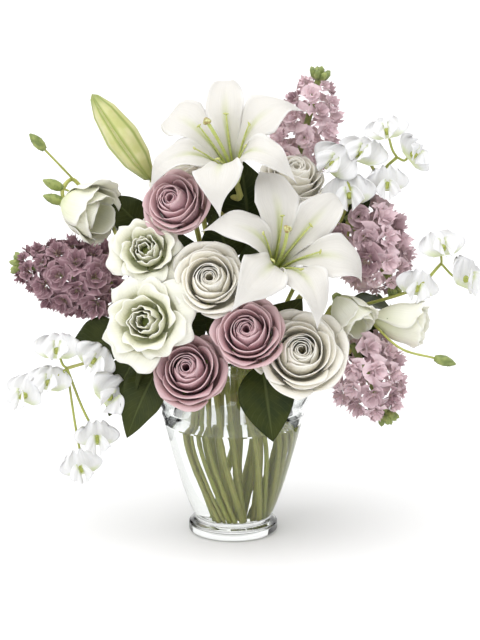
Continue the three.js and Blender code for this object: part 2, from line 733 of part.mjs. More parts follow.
spray("front_leaf_spray", [22, -64, 8], [0.2, -0.9, 0.1], [
  [[26, -72, 6], [36, -100, -58], 50, [0, -1, 0.3], 4, 8],
]);
spray("left_leaf_spray", [-78, -52, 18], [-0.8, -0.5, 0.1], [
  [[-66, -60, 4], [-96, -92, -56], 40, [-0.2, -0.9, 0.3], 4, 7],
  [[-86, -56, 12], [-114, -72, -42], 34, [-0.3, -0.9, 0.3], 4, 8],
  [[-96, -46, 24], [-150, -40, 14], 44, [0, -0.9, 0.4], 4, 8],
]);
spray("upper_left_leaf_spray", [-88, 14, 118], [-0.5, 0, 0.8], [
  [[-84, 6, 116], [-112, -8, 148], 34, [0, -0.9, 0.3], 3, 8],
  [[-86, 22, 104], [-140, 44, 116], 46, [-0.2, 0.6, 0.8], 4, 7],
]);
spray("right_leaf_spray", [94, -6, 40], [0.9, -0.2, 0.1], [
  [[98, -18, 32], [134, -22, 2], 40, [0, -0.9, 0.4], 4, 8],
  [[94, 14, 40], [150, 42, 34], 46, [0, 0.4, 0.9], 4, 8],
]);
spray("upper_right_leaf_spray", [94, 12, 126], [0.5, 0.1, 0.8], [
  [[98, 4, 124], [124, -10, 150], 36, [0, -0.9, 0.4], 3, 8],
  [[94, 24, 118], [132, 52, 140], 44, [0.2, 0.7, 0.6], 4, 8],
]);
spray("upper_leaf_spray", [18, 14, 128], [0, 0.1, 1], [
  [[14, 8, 124], [8, -14, 180], 50, [0, -0.95, 0.2], 3, 8],
  [[22, 22, 118], [60, 40, 166], 46, [0.1, 0.9, 0.3], 3, 8],
  [[10, 22, 114], [-36, 40, 150], 46, [-0.1, 0.9, 0.3], 3, 7],
]);
spray("back_leaf_spray", [26, 72, 44], [0.3, 0.8, 0.5], [
  [[28, 76, 46], [34, 124, 78], 50, [0, -0.3, 0.9], 4, 8],
  [[20, 70, 40], [-46, 92, 54], 48, [-0.2, 0.3, 0.9], 4, 8],
  [[36, 68, 40], [86, 88, 56], 48, [0.2, 0.3, 0.9], 4, 8],
]);

// ---------------------------------------------------------------- fitting everything together

spreadSlots();
function fitStem(stem) {
  const line = stemLine(stem);
  const sides = stem.radius < LISIANTHUS.stemRadius ? 5 : 6;
  add(stem.name, stem.material, (grow) => [bar(line, stem.radius + grow, sides), ...stem.parts(line, grow)]);
}
for (const stem of stems.filter(({ fitsLast }) => !fitsLast)) fitStem(stem);
for (const fitBloom of blooms) fitBloom();
for (const stem of stems.filter(({ fitsLast }) => fitsLast)) fitStem(stem);

// The water fills the vase round the stems, up to its level, where the vase still widens.
const WIDENING = 0.3; // of the inside's radius, for each millimetre of height
const waterHeight = VASE.height - WATER_BELOW_RIM;
const wetted = insideProfile(VASE.wall + CLEARANCE).filter(([, z]) => z < waterHeight - 1);
add("water", MATERIALS.water, () => [
  turned(
    [
      [0, waterHeight],
      [wetted[0][0] + (waterHeight - wetted[0][1]) * WIDENING, waterHeight],
      ...wetted,
      [floorRadius - CLEARANCE, VASE.floorThickness + CLEARANCE],
      [0, VASE.floorThickness + CLEARANCE],
    ],
    ROUND,
  ),
]);

export default arrangement;
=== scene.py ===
# %% [markdown]
# # Lilies and mixed flowers in a glass vase
# This lesson builds an arrangement of two lilies with roses, lisianthus, stock, sweet peas and leaves,
# standing in a footed glass vase of water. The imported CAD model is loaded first. It is a coarse but
# exact plan: it says where each bloom sits, which way it faces and how big it is. Every coarse solid
# is then replaced by a finely shaped surface in the same place. Lengths are in metres, +Z is up and
# the front of the arrangement faces -Y.

# %% Load the fixed frame
import math

import bmesh
import bpy
import numpy as np
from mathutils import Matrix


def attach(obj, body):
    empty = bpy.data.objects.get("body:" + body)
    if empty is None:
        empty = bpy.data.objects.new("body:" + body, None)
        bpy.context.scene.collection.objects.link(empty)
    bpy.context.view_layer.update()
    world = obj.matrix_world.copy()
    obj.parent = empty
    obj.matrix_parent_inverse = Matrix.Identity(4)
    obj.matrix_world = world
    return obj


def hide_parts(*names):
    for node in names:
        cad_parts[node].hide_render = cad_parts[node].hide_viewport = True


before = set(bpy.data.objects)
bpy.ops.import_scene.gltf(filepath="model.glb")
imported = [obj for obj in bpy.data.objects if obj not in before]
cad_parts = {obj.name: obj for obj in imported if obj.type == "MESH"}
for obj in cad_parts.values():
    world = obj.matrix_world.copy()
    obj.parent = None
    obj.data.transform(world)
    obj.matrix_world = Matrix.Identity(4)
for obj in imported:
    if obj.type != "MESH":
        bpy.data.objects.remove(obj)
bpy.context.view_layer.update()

# %% [markdown]
# ## Reading the plan
# Flower heads in the CAD model are turned solids on stems made of rings of corners. Two measurements
# place a bloom or a stem. The corners of a node, without repeats, give its size. Corners that
# lie closer together than a short link form one ring, and the rings of a stem, joined nearest to
# nearest, give its centre line and its side shoots. This was chosen over typing positions in, so the
# fine flowers can't drift away from the plan.

# %% Corners and rings of a CAD node
def corners(node):
    """The different corners of a CAD node, one row each."""
    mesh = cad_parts[node].data
    flat = np.zeros(len(mesh.vertices) * 3)
    mesh.vertices.foreach_get("co", flat)
    return np.unique(flat.reshape(-1, 3).round(6), axis=0)


def unit(vectors):
    """Vectors scaled to length one: each is divided by its own length."""
    return vectors / np.maximum(np.linalg.norm(vectors, axis=-1, keepdims=True), 1e-12)


def points_of(x, y, z):
    """Three arrays of coordinates, spread to one shape, as one array of points."""
    return np.stack(np.broadcast_arrays(x, y, z), axis=-1)


def nearest(points, place):
    """The one of the points that lies closest to a place."""
    return points[np.linalg.norm(points - place, axis=1).argmin()]


def polar(reach, angle, height):
    """Points at a reach and an angle round an axis, at a height on it."""
    return points_of(reach * np.cos(angle), reach * np.sin(angle), height)


def shares(rows, columns):
    """The share along of each row, from 0 to 1, and the share across of each column, from -1 to 1."""
    return np.linspace(0, 1, rows)[:, None], np.linspace(-1, 1, columns)[None]


def rings(node, link, least):
    """Centres of the groups of at least so many corners that hang together by steps under link.

    Each corner starts with its own number and takes the lowest number in reach until none changes."""
    points = corners(node)
    near = np.linalg.norm(points[:, None] - points[None], axis=-1) < link
    number = np.arange(len(points))
    while True:
        lowest = np.where(near, number[None], len(points)).min(axis=1)
        if (lowest == number).all():
            break
        number = lowest
    groups = [points[number == k] for k in np.unique(number)]
    return np.array([g.mean(axis=0) for g in groups if len(g) >= least])


# %% Centre lines from rings
def centre_line(centres, end):
    """The line of ring centres from the lowest one to the one nearest an end point.

    Each centre hangs on its nearest centre that is already placed, which makes a tree; the line is
    the way back down the tree."""
    order = [int(centres[:, 2].argmin())]
    parent = {order[0]: None}
    gap = np.linalg.norm(centres[:, None] - centres[None], axis=-1)
    while len(order) < len(centres):
        left = [i for i in range(len(centres)) if i not in parent]
        row, column = np.unravel_index(gap[np.ix_(order, left)].argmin(), (len(order), len(left)))
        parent[left[column]] = order[row]
        order.append(left[column])
    i = int(np.linalg.norm(centres - end, axis=1).argmin())
    line = []
    while i is not None:
        line.append(i)
        i = parent[i]
    return centres[line[::-1]]


def basis(axis, roll=0.0):
    """Three rows: sideways, upwards and along the axis, turned by roll round the axis."""
    ahead = unit(np.array(axis, float))
    side = unit(np.cross([0.0, 0.0, 1.0], ahead))
    up = np.cross(ahead, side)
    turned = np.cos(roll) * side + np.sin(roll) * up
    return np.array([turned, np.cross(ahead, turned), ahead])


# %% Where a bloom sits
SEAT_REACH, SEAT_GAP = 0.012, 0.006


def bloom_seat(bloom, stem):
    """Foot point, axis, depth and radius of a bloom.

    The stem's swollen end and the bloom are both round about the bloom's axis, so the mean corner of
    each lies on it. Side shoots pass close by too, so only stem corners near the closest one count."""
    head, stalk = corners(bloom), corners(stem)
    gap = np.linalg.norm(stalk[:, None] - head[None], axis=-1).min(axis=1)
    near = np.linalg.norm(stalk - stalk[gap.argmin()], axis=1) < SEAT_REACH
    foot = stalk[near & (gap < SEAT_GAP)].mean(axis=0)
    low, high = head.min(axis=0), head.max(axis=0)
    far = head[np.linalg.norm(head - foot, axis=1) > 0.6 * np.linalg.norm(high - low) / 2]
    axis = unit(far.mean(axis=0) - foot)
    height = (head - foot) @ axis
    across = np.linalg.norm(head - foot - height[:, None] * axis, axis=1)
    return foot, axis, height.max(), across.max()


roses = [f"pink_rose_{k}" for k in (1, 2, 3)] + [f"white_rose_{k}" for k in (1, 2, 3, 4)]
seats = {name: bloom_seat(name + "_bloom", name + "_stem")
         for name in roses + [f"lisianthus_{k}" for k in (1, 2, 3, 4)]}
seats["lisianthus_5"] = bloom_seat("lisianthus_5_bloom", "lisianthus_4_stem")
for name, (foot, axis, depth, radius) in seats.items():
    print(name, "faces", axis.round(2), "depth", round(depth, 3), "radius", round(radius, 3))

# %% [markdown]
# ## From numbers to a mesh
# Each petal, leaf and stem is a surface worked out as a whole array: rows run along it, columns run
# across it. One helper turns a stack of such grids into one mesh object. It also stores three
# numbers at each corner, how far along, how far across and a tone, so that a material can draw veins
# and soft edges that follow the petal.

# %% Grids become one mesh piece
WELD = 1e-6


def grid_faces(count, rows, columns, closed, start):
    """Corner numbers of a stack of grids' quads; a closed grid joins its last column to its first."""
    index = np.arange(rows * columns).reshape(rows, columns)
    if closed:
        index = np.concatenate([index, index[:, :1]], axis=1)
    quads = np.stack([index[:-1, :-1], index[:-1, 1:], index[1:, 1:], index[1:, :-1]], axis=-1)
    steps = start + np.arange(count)[:, None, None] * rows * columns
    return (quads.reshape(1, -1, 4) + steps).reshape(-1, 4)


def add_object(name, data):
    """A new object in the scene."""
    made = bpy.data.objects.new(name, data)
    bpy.context.scene.collection.objects.link(made)
    return made


def rework(mesh, work):
    """A mesh with a job done on its corners, edges and faces."""
    shell = bmesh.new()
    shell.from_mesh(mesh)
    work(shell)
    shell.to_mesh(mesh)
    shell.free()


def weld(shell):
    """Corners in one place become one, and faces without area go."""
    bmesh.ops.remove_doubles(shell, verts=shell.verts, dist=WELD)
    bmesh.ops.dissolve_degenerate(shell, edges=shell.edges, dist=WELD)


def piece(name, stacks, materials, replaces, thickness=0.0):
    """One mesh object from stacks of grids: each is (points, tone, closed, material number).

    Points have the shape (grids, rows, columns, 3). Along and across are the row's and the column's
    share, across from -1 to 1, and tone has one number for each grid."""
    points, marks, faces, numbers, start = [], [], [], [], 0
    for grid, tone, closed, number in stacks:
        count, rows, columns = grid.shape[:3]
        shade = np.broadcast_to(np.asarray(tone, float).reshape(-1, 1, 1), grid.shape[:3])
        points.append(grid.reshape(-1, 3))
        marks.append(points_of(*shares(rows, columns), shade).reshape(-1, 3))
        quads = grid_faces(count, rows, columns, closed, start)
        faces.append(quads)
        numbers.append(np.full(len(quads), number))
        start += count * rows * columns
    mesh = bpy.data.meshes.new(name)
    mesh.from_pydata(np.concatenate(points), [], np.concatenate(faces))
    mesh.attributes.new("petal", "FLOAT_VECTOR", "POINT").data.foreach_set(
        "vector", np.concatenate(marks).astype(np.float32).ravel())
    mesh.polygons.foreach_set("material_index", np.concatenate(numbers).astype(np.int32))
    mesh.polygons.foreach_set("use_smooth", np.ones(len(mesh.polygons), bool))
    for material in materials:
        mesh.materials.append(material)
    rework(mesh, weld)
    made = add_object(name, mesh)
    if thickness:
        wall = made.modifiers.new("petal thickness", "SOLIDIFY")
        wall.thickness, wall.offset = thickness, 0.0
    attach(made, "root")
    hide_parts(*replaces)
    print(name, len(mesh.polygons), "faces")
    return made


def skin(points, tone=0.0, number=1):
    """A stack for a round skin: closed across, with one tone and a material number."""
    return points, [tone], True, number


def sheets(points, tones, number=0):
    """A stack for open sheets, with a tone for each and a material number."""
    return points, tones, False, number


# %% Smooth lines and tubes
def smooth_line(points, samples):
    """A curve through points: between two of them it is a cubic that also looks at the next two."""
    p = np.asarray(points, float)
    p = np.concatenate([2 * p[:1] - p[1:2], p, 2 * p[-1:] - p[-2:-1]])
    t = np.linspace(0, len(p) - 3 - 1e-9, samples)
    i = t.astype(int)
    t = (t - i)[:, None]
    a, b, c, d = p[i], p[i + 1], p[i + 2], p[i + 3]
    return 0.5 * (2 * b + (c - a) * t + (2 * a - 5 * b + 4 * c - d) * t**2 + (3 * b - a - 3 * c + d) * t**3)


def steps_round(count):
    """Angles of so many equal steps round a circle."""
    return np.arange(count) * 2 * np.pi / count


def tube(line, radii, sides):
    """A closed round skin: at each point of the line, a circle square to the line, scaled by a radius.

    The end rings shrink to a point, so the tube has caps."""
    line, radii = np.asarray(line, float), np.broadcast_to(radii, len(line)).astype(float)
    line = np.concatenate([line[:1], line, line[-1:]])
    radii = np.concatenate([[0.0], radii, [0.0]])
    tangent = unit(np.gradient(line[1:-1], axis=0))
    tangent = np.concatenate([tangent[:1], tangent, tangent[-1:]])
    reference = np.linalg.svd(tangent)[2][-1]
    side = unit(np.cross(tangent, reference))
    up = np.cross(tangent, side)
    angle = steps_round(sides)
    ring = np.cos(angle)[None, :, None] * side[:, None] + np.sin(angle)[None, :, None] * up[:, None]
    return (line[:, None] + radii[:, None, None] * ring)[None]


def lathe(profile, place, turn, sides, ripple=0.0, waves=3):
    """A turned skin: (radius, height) points swept round an axis; a ripple gives it soft corners."""
    r, h = np.asarray(profile, float).T
    angle = steps_round(sides)
    swell = 1 + ripple * np.cos(waves * angle)[None]
    local = polar(r[:, None] * swell, angle, h[:, None])
    return (local @ turn + place)[None]


# %% [markdown]
# ## Materials
# Petals scatter light softly and have no gloss to speak of, leaves are waxy, stems are satin. All of
# them are grown, so none is one flat colour: each material mixes two or three colours along the
# petal, adds faint veins that follow it, and breaks the rest up with noise. In the roses the colour at
# the foot of the petals is partly painted: deeper pink as painted shade deep in the cup, warm yellow
# as painted light bouncing between the cream petals. The stored petal numbers drive the veins,
# because noise in space alone would cut across a curled petal.

# %% Node helpers
def material(name, rough, **constants):
    """A new node material, its tree and its shader, with constants set on the shader's sockets."""
    made = bpy.data.materials.new(name)
    made.use_nodes = True
    shader = made.node_tree.nodes["Principled BSDF"]
    shader.inputs["Roughness"].default_value = rough
    for socket, value in constants.items():
        shader.inputs[socket.replace("_", " ")].default_value = value
    print("material", name)
    return made, made.node_tree, shader


def add_node(tree, kind, settings=(), **inputs):
    """A node of a kind; a value given for an input is either linked, when it is a socket, or set."""
    made = tree.nodes.new("ShaderNode" + kind)
    for key, value in dict(settings).items():
        setattr(made, key, value)
    for key, value in inputs.items():
        socket = made.inputs[int(key[1:])] if key[1:].isdigit() else made.inputs[key]
        if isinstance(value, bpy.types.NodeSocket):
            tree.links.new(value, socket)
        else:
            socket.default_value = value
    return made


def maths(tree, operation, first, second=0.0):
    """One sum: the result socket of an arithmetic node."""
    return add_node(tree, "Math", {"operation": operation}, i0=first, i1=second).outputs[0]


def times(tree, first, second):
    """The product of two values."""
    return maths(tree, "MULTIPLY", first, second)


def rest(tree, value):
    """What a value leaves of one."""
    return maths(tree, "SUBTRACT", 1.0, value)


def blend(tree, share, first, second):
    """A colour between two, by a share."""
    return add_node(tree, "MixRGB", i0=share, i1=first, i2=second).outputs[0]


def paint(tree, shader, color):
    """A colour, worked out by nodes, on the shader."""
    tree.links.new(color, shader.inputs["Base Color"])


def spread(tree, value, low, high):
    """A value stretched so that low gives 0 and high gives 1, eased at both ends."""
    made = add_node(tree, "MapRange", {"interpolation_type": "SMOOTHSTEP"}, Value=value)
    made.inputs["From Min"].default_value = low
    made.inputs["From Max"].default_value = high
    return made.outputs["Result"]


def petal_marks(tree):
    """The along, across and tone numbers stored on the piece."""
    stored = add_node(tree, "Attribute", {"attribute_name": "petal"})
    parts = add_node(tree, "SeparateXYZ", i0=stored.outputs["Vector"])
    return parts.outputs[0], parts.outputs[1], parts.outputs[2], stored.outputs["Vector"]


def speckle(tree, scale, detail=3.0):
    """Noise in the object's own space, from 0 to 1."""
    place = add_node(tree, "TexCoord").outputs["Object"]
    return add_node(tree, "TexNoise", Vector=place, Scale=scale, Detail=detail).outputs["Fac"]


def relief(tree, shader, height, distance, strength=0.5):
    """A bump on the shader's normal."""
    bump = add_node(tree, "Bump", Height=height, Distance=distance, Strength=strength)
    tree.links.new(bump.outputs[0], shader.inputs["Normal"])


# %% The petal finish
def petal_finish(name, throat, body, rim, throat_end, veins, rough, tone_color=None, tone_share=0.6,
                 glow=0.12):
    """Throat colour at the foot, body colour, rim colour at the edge, with fine lengthwise veins.

    A petal's own tone mixes in the tone colour, by the tone share."""
    made, tree, shader = material(name, rough, Subsurface_Weight=glow, Subsurface_Scale=0.004,
                                  Specular_IOR_Level=0.3, Sheen_Weight=0.08)
    shader.inputs["Subsurface Radius"].default_value = (1.0, 0.9, 0.75)
    along, across, tone, whole = petal_marks(tree)
    mottled = times(tree, maths(tree, "SUBTRACT", speckle(tree, 90), 0.5), 0.3)
    mottled = maths(tree, "ADD", along, mottled)
    color = blend(tree, spread(tree, mottled, 0.0, throat_end), (*throat, 1), (*body, 1))
    edge = maths(tree, "MAXIMUM", spread(tree, along, 0.8, 1.05),
                 spread(tree, maths(tree, "ABSOLUTE", across), 0.75, 1.1))
    color = blend(tree, edge, color, (*rim, 1))
    if tone_color:
        color = blend(tree, times(tree, tone, tone_share), color, (*tone_color, 1))
    stretched = add_node(tree, "Mapping", Vector=whole, Scale=(1.2, veins, 3.0)).outputs[0]
    fibre = add_node(tree, "TexNoise", Vector=stretched, Scale=1.0, Detail=2.0).outputs["Fac"]
    shade = add_node(tree, "HueSaturation", Color=color)
    tree.links.new(maths(tree, "ADD", times(tree, fibre, 0.16), 0.92), shade.inputs["Value"])
    paint(tree, shader, shade.outputs[0])
    relief(tree, shader, maths(tree, "ADD", fibre, times(tree, speckle(tree, 260), 0.3)), 0.0006)
    return made


# %% [markdown]
# ## Lily tepals
# An oriental lily has six tepals: three broad inner ones and three narrower outer ones. Each starts
# upright at the throat, swings outwards and rolls its tip back. On a real tepal the middle rib lies
# in a groove that is green near the throat, and the margin is wavy. The spine is a smooth curve
# through five points in the plane of the axis, and the sheet is laid across it.

# %% Where a lily sits
CURLS = {"front_lily": (0.9, 0.3, 0.2, 0.8, 1.0, 0.5), "upper_lily": (0.4, 0.2, 0.9, 0.7, 0.6, 0.8)}


def lily_place(prefix):
    """A lily's throat, the three rows of its basis, its six tips and its reach.

    The six tips lie on a circle round the axis, and the axis is the normal of that circle."""
    inside = corners(prefix + "_stamens").mean(axis=0)
    tips = []
    for number in range(1, 7):
        tepal = corners(f"{prefix}_tepal_{number}")
        tips.append(tepal[np.linalg.norm(tepal - inside, axis=1).argmax()])
    tips = np.array(tips)
    middle = tips.mean(axis=0)
    axis = np.linalg.svd(tips - middle)[2][-1]
    stalk = corners(prefix + "_stem")
    throat = nearest(stalk, middle)
    axis = axis * np.sign((middle - throat) @ axis)
    drop = (middle - throat) @ axis
    return middle - axis * drop, basis(axis), tips, np.linalg.norm(tips - middle, axis=1).mean()


for prefix in CURLS:
    throat, turn, tips, reach = lily_place(prefix)
    print(prefix, "throat", throat.round(3), "axis", turn[2].round(2), "reach", round(reach, 4))

# %% The tepal surface
SPINE = [(0.07, 0.0), (0.19, 0.52), (0.44, 0.9), (0.78, 1.0), (1.02, 0.8)]
INNER_WIDTH, OUTER_WIDTH, LILY_DEPTH = 0.050, 0.038, 0.061


def tepal(reach, width, curl, wave, rows=30, columns=19):
    """One tepal in the lily's own frame, leaning out along its first axis.

    The spine gives how far out and how high each row is. The half width is a sine to a power that
    grows towards the tip and so draws it to a point, and near the throat it is held by the room there.
    Across, the sheet is a trough near the throat that flattens outwards, with a narrow groove along
    the rib and a wave along the margin."""
    along, across = shares(rows, columns)
    spine = smooth_line(SPINE, rows)
    out = reach * (spine[:, :1] + curl * along**4 * -0.05)
    up = LILY_DEPTH * (spine[:, 1:] - curl * along**4 * 0.42)
    half = width / 2 * np.sin(np.pi * (0.07 + 0.93 * along)) ** (0.6 + 0.95 * along)
    half = np.minimum(half, 0.52 * out + 0.001)
    trough = 0.30 * half * across**2 * (1 - 1.25 * along)
    groove = -0.0016 * np.exp(-((across / 0.10) ** 2)) * np.sin(np.pi * np.minimum(along + 0.15, 1))
    ruffle = 0.0050 * np.abs(across) ** 3 * np.sin(np.pi * along)
    ruffle = ruffle * np.sin(2 * np.pi * (2.2 * along + wave + 0.25 * np.sign(across)))
    lift = trough * 0.7 + groove + ruffle
    return points_of(out - trough * 0.8, half * across, up + lift)[None]


# %% Lily colours
lily_white = petal_finish("lily petal", (0.44, 0.50, 0.15), (0.66, 0.64, 0.60), (0.77, 0.755, 0.73),
                          throat_end=0.22, veins=30, rough=0.45, glow=0.15)
tree = lily_white.node_tree
surface = tree.nodes["Principled BSDF"]
along, across, *_ = petal_marks(tree)
rib = rest(tree, spread(tree, maths(tree, "ABSOLUTE", across), 0.02, 0.30))
fade = rest(tree, spread(tree, along, 0.18, 0.72))
plain = surface.inputs["Base Color"].links[0].from_socket
paint(tree, surface, blend(tree, times(tree, times(tree, rib, fade), 0.8), plain, (0.48, 0.56, 0.13, 1)))

stamen_green, tree, surface = material("lily stamens", 0.4, Subsurface_Weight=0.1, Subsurface_Scale=0.002)
pollen = blend(tree, petal_marks(tree)[2], (0.52, 0.60, 0.16, 1), (0.27, 0.17, 0.06, 1))
paint(tree, surface, blend(tree, spread(tree, speckle(tree, 400), 0.4, 0.7), pollen, (0.60, 0.64, 0.28, 1)))
relief(tree, surface, speckle(tree, 900), 0.0004)

# %% Both lilies
PISTIL, FILAMENT, TEPAL_THICKNESS, ANTHER = 0.074, 0.056, 0.0009, 0.0026
KNOB = [(0, -0.0024), (0.0026, -0.0016), (0.0038, 0.0004), (0.0030, 0.0022), (0, 0.0026)]
RECEPTACLE = [(0, -0.006), (0.0045, -0.004), (0.0062, 0.0), (0.0050, 0.004), (0.002, 0.006), (0, 0.0062)]
chance = np.random.default_rng(4)
for prefix, curls in CURLS.items():
    throat, turn, tips, reach = lily_place(prefix)
    for number, tip in enumerate(tips):
        width = INNER_WIDTH if number % 2 == 0 else OUTER_WIDTH
        side = turn @ (tip - throat)
        angle = np.arctan2(side[1], side[0])
        sheet = tepal(reach, width, curls[number], chance.uniform())
        cos, sin = np.cos(angle), np.sin(angle)
        spun = sheet @ np.array([[cos, sin, 0], [-sin, cos, 0], [0, 0, 1]])
        node = f"{prefix}_tepal_{number + 1}"
        piece("fine_" + node, [sheets(spun @ turn + throat, [chance.uniform()])], [lily_white],
              [node], thickness=TEPAL_THICKNESS)
    rise = np.linspace(0, 1, 14)
    bend = chance.uniform(0, 2 * np.pi)
    style = polar(0.010 * rise**2, bend, PISTIL * rise)
    parts = [skin(tube(style @ turn + throat, 0.0013 + 0.0004 * rise, 10), 0.0, 0),
             skin(lathe(KNOB, style[-1] @ turn + throat, turn, 18, 0.16, 3), 0.85, 0)]
    for number in range(6):
        angle = np.pi / 3 * (number + 0.5) + 0.1
        out = 0.0032 + FILAMENT * 0.42 * rise**1.5
        line = polar(out, angle, FILAMENT * rise)
        parts.append(skin(tube(line @ turn + throat, 0.0012 - 0.0005 * rise, 8), 0.1, 0))
        swing = np.array([-np.sin(angle), np.cos(angle), 0.2])
        tip_line = line[-1] + np.linspace(-1, 1, 5)[:, None] * ANTHER * swing
        pod = 0.0011 * np.sin(np.pi * np.linspace(0.1, 0.9, 5))
        parts.append(skin(tube(tip_line @ turn + throat, pod, 8), 0.35, 0))
    parts.append(skin(lathe(RECEPTACLE, throat, turn, 18), 0.0, 0))
    piece(f"fine_{prefix}_stamens", parts, [stamen_green], [prefix + "_stamens"])

# %% [markdown]
# ## Cups of petals
# A rose and a lisianthus are both cups of many petals that start at one foot. Inner petals wrap far
# round a small circle and close over the middle, and outer ones stand wider apart and lean out. A
# plan gives these sizes at a few ages, and the petals between are blended from it. One function makes
# the whole cup. Petal number k is turned by k golden angles, as a plant does, so no two lie straight
# above each other.

# %% A cup of petals
GOLDEN = math.pi * (3 - math.sqrt(5))


def cup(count, radius, depth, seed, plan, span, ruffle, waves, foot, belly, corner=0.10, tuck=0.055,
        rows=15, columns=15):
    """Petals in the bloom's own frame, with its foot at zero and its axis upwards.

    Each row of the plan holds an age, from 0 for the heart to 1 for the outermost petal, and at that
    age the cup's radius as a share of the bloom's, how far the top leans out, how far the lip rolls
    down and the height as a share of the depth. Radius: it swells from the foot to the belly as a
    quarter sine, then leans in or out as a power. Turn: the golden angle times the number, plus a
    share of the petal's span. One side of each petal tucks under its neighbour. The lip ruffles by
    the cube of the way along, and older petals ruffle more."""
    rng = np.random.default_rng(seed)
    age = np.linspace(0, 1, count)[:, None, None]
    number = np.arange(count)[:, None, None]
    along, across = shares(rows, columns)
    phase = rng.uniform(0, 2 * np.pi, (2, count, 1, 1))
    frills = ruffle * (0.2 + 0.8 * age) * along**3
    ages, *plans = np.array(plan, float).T
    size, tilt, roll, tall = (np.interp(age, ages, values) for values in plans)
    middle = radius * size * (1 + 0.03 * rng.normal(size=(count, 1, 1)))
    swell = np.sin(np.pi / 2 * np.minimum(along / belly, 1)) ** 0.8
    top = np.maximum(along - belly, 0) / (1 - belly)
    reach = foot * (0.3 + 0.7 * age) + np.maximum(middle - foot * age, 0.001) * swell
    reach = reach + radius * tilt * top**1.6
    reach = reach + middle * (0.06 * age * across**2 * top + tuck * across * along)
    reach = reach + radius * frills * np.sin(waves * np.pi * across + phase[0])
    height = depth * tall * (1 + 0.02 * rng.normal(size=(count, 1, 1))) * along**0.95
    height = height - depth * roll * top**2 * (1 - 0.2 * across**2)
    height = height - depth * corner * np.abs(across) ** 2.6 * along**2
    height = height + depth * 0.8 * frills * np.cos((waves + 1) * np.pi * across + phase[1])
    width = np.radians(span[0] + (span[1] - span[0]) * age**0.5) / 2
    width = width * np.sin(np.pi * (0.14 + 0.60 * along)) ** 0.6 * (1 - 0.25 * age * top**2)
    angle = GOLDEN * number + across * width + 0.06 * rng.normal(size=(count, 1, 1))
    reach = np.clip(reach, 0.0004, radius * 1.02)
    return polar(reach, angle, height), age.ravel()


def sepals(count, length, width, flare, start):
    """Pointed green leaves under a bloom: a half width that falls to nothing at the tip."""
    along, across = shares(9, 5)
    angle = steps_round(count)[:, None, None]
    reach = start + length * flare * along**1.3
    height = length * along * (1 - 0.45 * flare * along)
    side = width / 2 * across * np.sin(np.pi * (0.25 + 0.75 * along)) ** 0.8
    cos, sin = np.cos(angle), np.sin(angle)
    return points_of(reach * cos - side * sin, reach * sin + side * cos, height)


# %% Rose and lisianthus colours
calyx_green, tree, surface = material("calyx", 0.5, Sheen_Weight=0.1)
leafy = spread(tree, speckle(tree, 160), 0.35, 0.65)
paint(tree, surface, blend(tree, leafy, (0.15, 0.20, 0.05, 1), (0.30, 0.35, 0.10, 1)))
relief(tree, surface, speckle(tree, 500), 0.0004)

# The deep pink throat colour is partly the rose's own colour and partly painted shade deep in the cup.
pink_petal = petal_finish("pink rose petal", (0.42, 0.14, 0.19), (0.56, 0.31, 0.36), (0.72, 0.50, 0.53),
                          throat_end=0.7, veins=22, rough=0.6, tone_color=(0.68, 0.49, 0.50), tone_share=0.8,
                          glow=0.2)
# The yellow throat colour is partly the rose's own warm centre and partly painted light: the warm glow of
# light bouncing in the crevices between the cream petals.
cream_petal = petal_finish("cream rose petal", (0.98, 0.90, 0.62), (0.98, 0.93, 0.78), (0.96, 0.93, 0.85),
                           throat_end=0.7, veins=22, rough=0.6, tone_color=(0.91, 0.885, 0.82),
                           tone_share=0.7, glow=0.25)
lisianthus_petal = petal_finish("lisianthus petal", (0.50, 0.56, 0.12), (0.82, 0.82, 0.62),
                                (0.88, 0.87, 0.78), throat_end=0.8, veins=26, rough=0.6,
                                tone_color=(0.89, 0.88, 0.80), glow=0.25)

# %% All roses
SEPALS, PETAL_THICKNESS = 5, 0.0006
ROSE_PLAN = [(0, 0.05, -0.03, 0.0, 0.95), (0.5, 0.37, -0.10, 0.0, 1.0), (0.62, 0.46, 0.02, 0.05, 1.0),
             (0.75, 0.58, 0.12, 0.12, 0.96), (1, 0.84, 0.15, 0.20, 0.80)]
ROSE_HIP = [(0, -0.008), (0.0045, -0.006), (0.0075, 0.0), (0.0085, 0.006), (0.006, 0.010), (0, 0.011)]


def set_bloom(name, turn, cup_made, calyx, greens, finish):
    """One bloom piece on its seat: a cup of petals, sepals under it and turned green bodies."""
    foot = seats[name][0]
    petals, age = cup_made
    parts = [sheets(petals @ turn + foot, age), sheets(calyx @ turn + foot, np.zeros(SEPALS), 1)]
    parts += [skin(lathe(outline, foot, turn, sides)) for outline, sides in greens]
    piece("fine_" + name, parts, [finish, calyx_green], [name + "_bloom"],
          thickness=PETAL_THICKNESS)


for number, name in enumerate(roses):
    _, axis, depth, radius = seats[name]
    petals = cup(27, radius, depth - 0.001, 20 + number, ROSE_PLAN, span=(235, 135), ruffle=0.014,
                 waves=1.5, foot=0.009, belly=0.55, corner=0.07, tuck=0.10, rows=20, columns=21)
    pink = name.startswith("pink")
    set_bloom(name, basis(axis, 0.7 * number), petals, sepals(SEPALS, 0.026, 0.011, 0.55, 0.006),
              [(ROSE_HIP, 20)], pink_petal if pink else cream_petal)

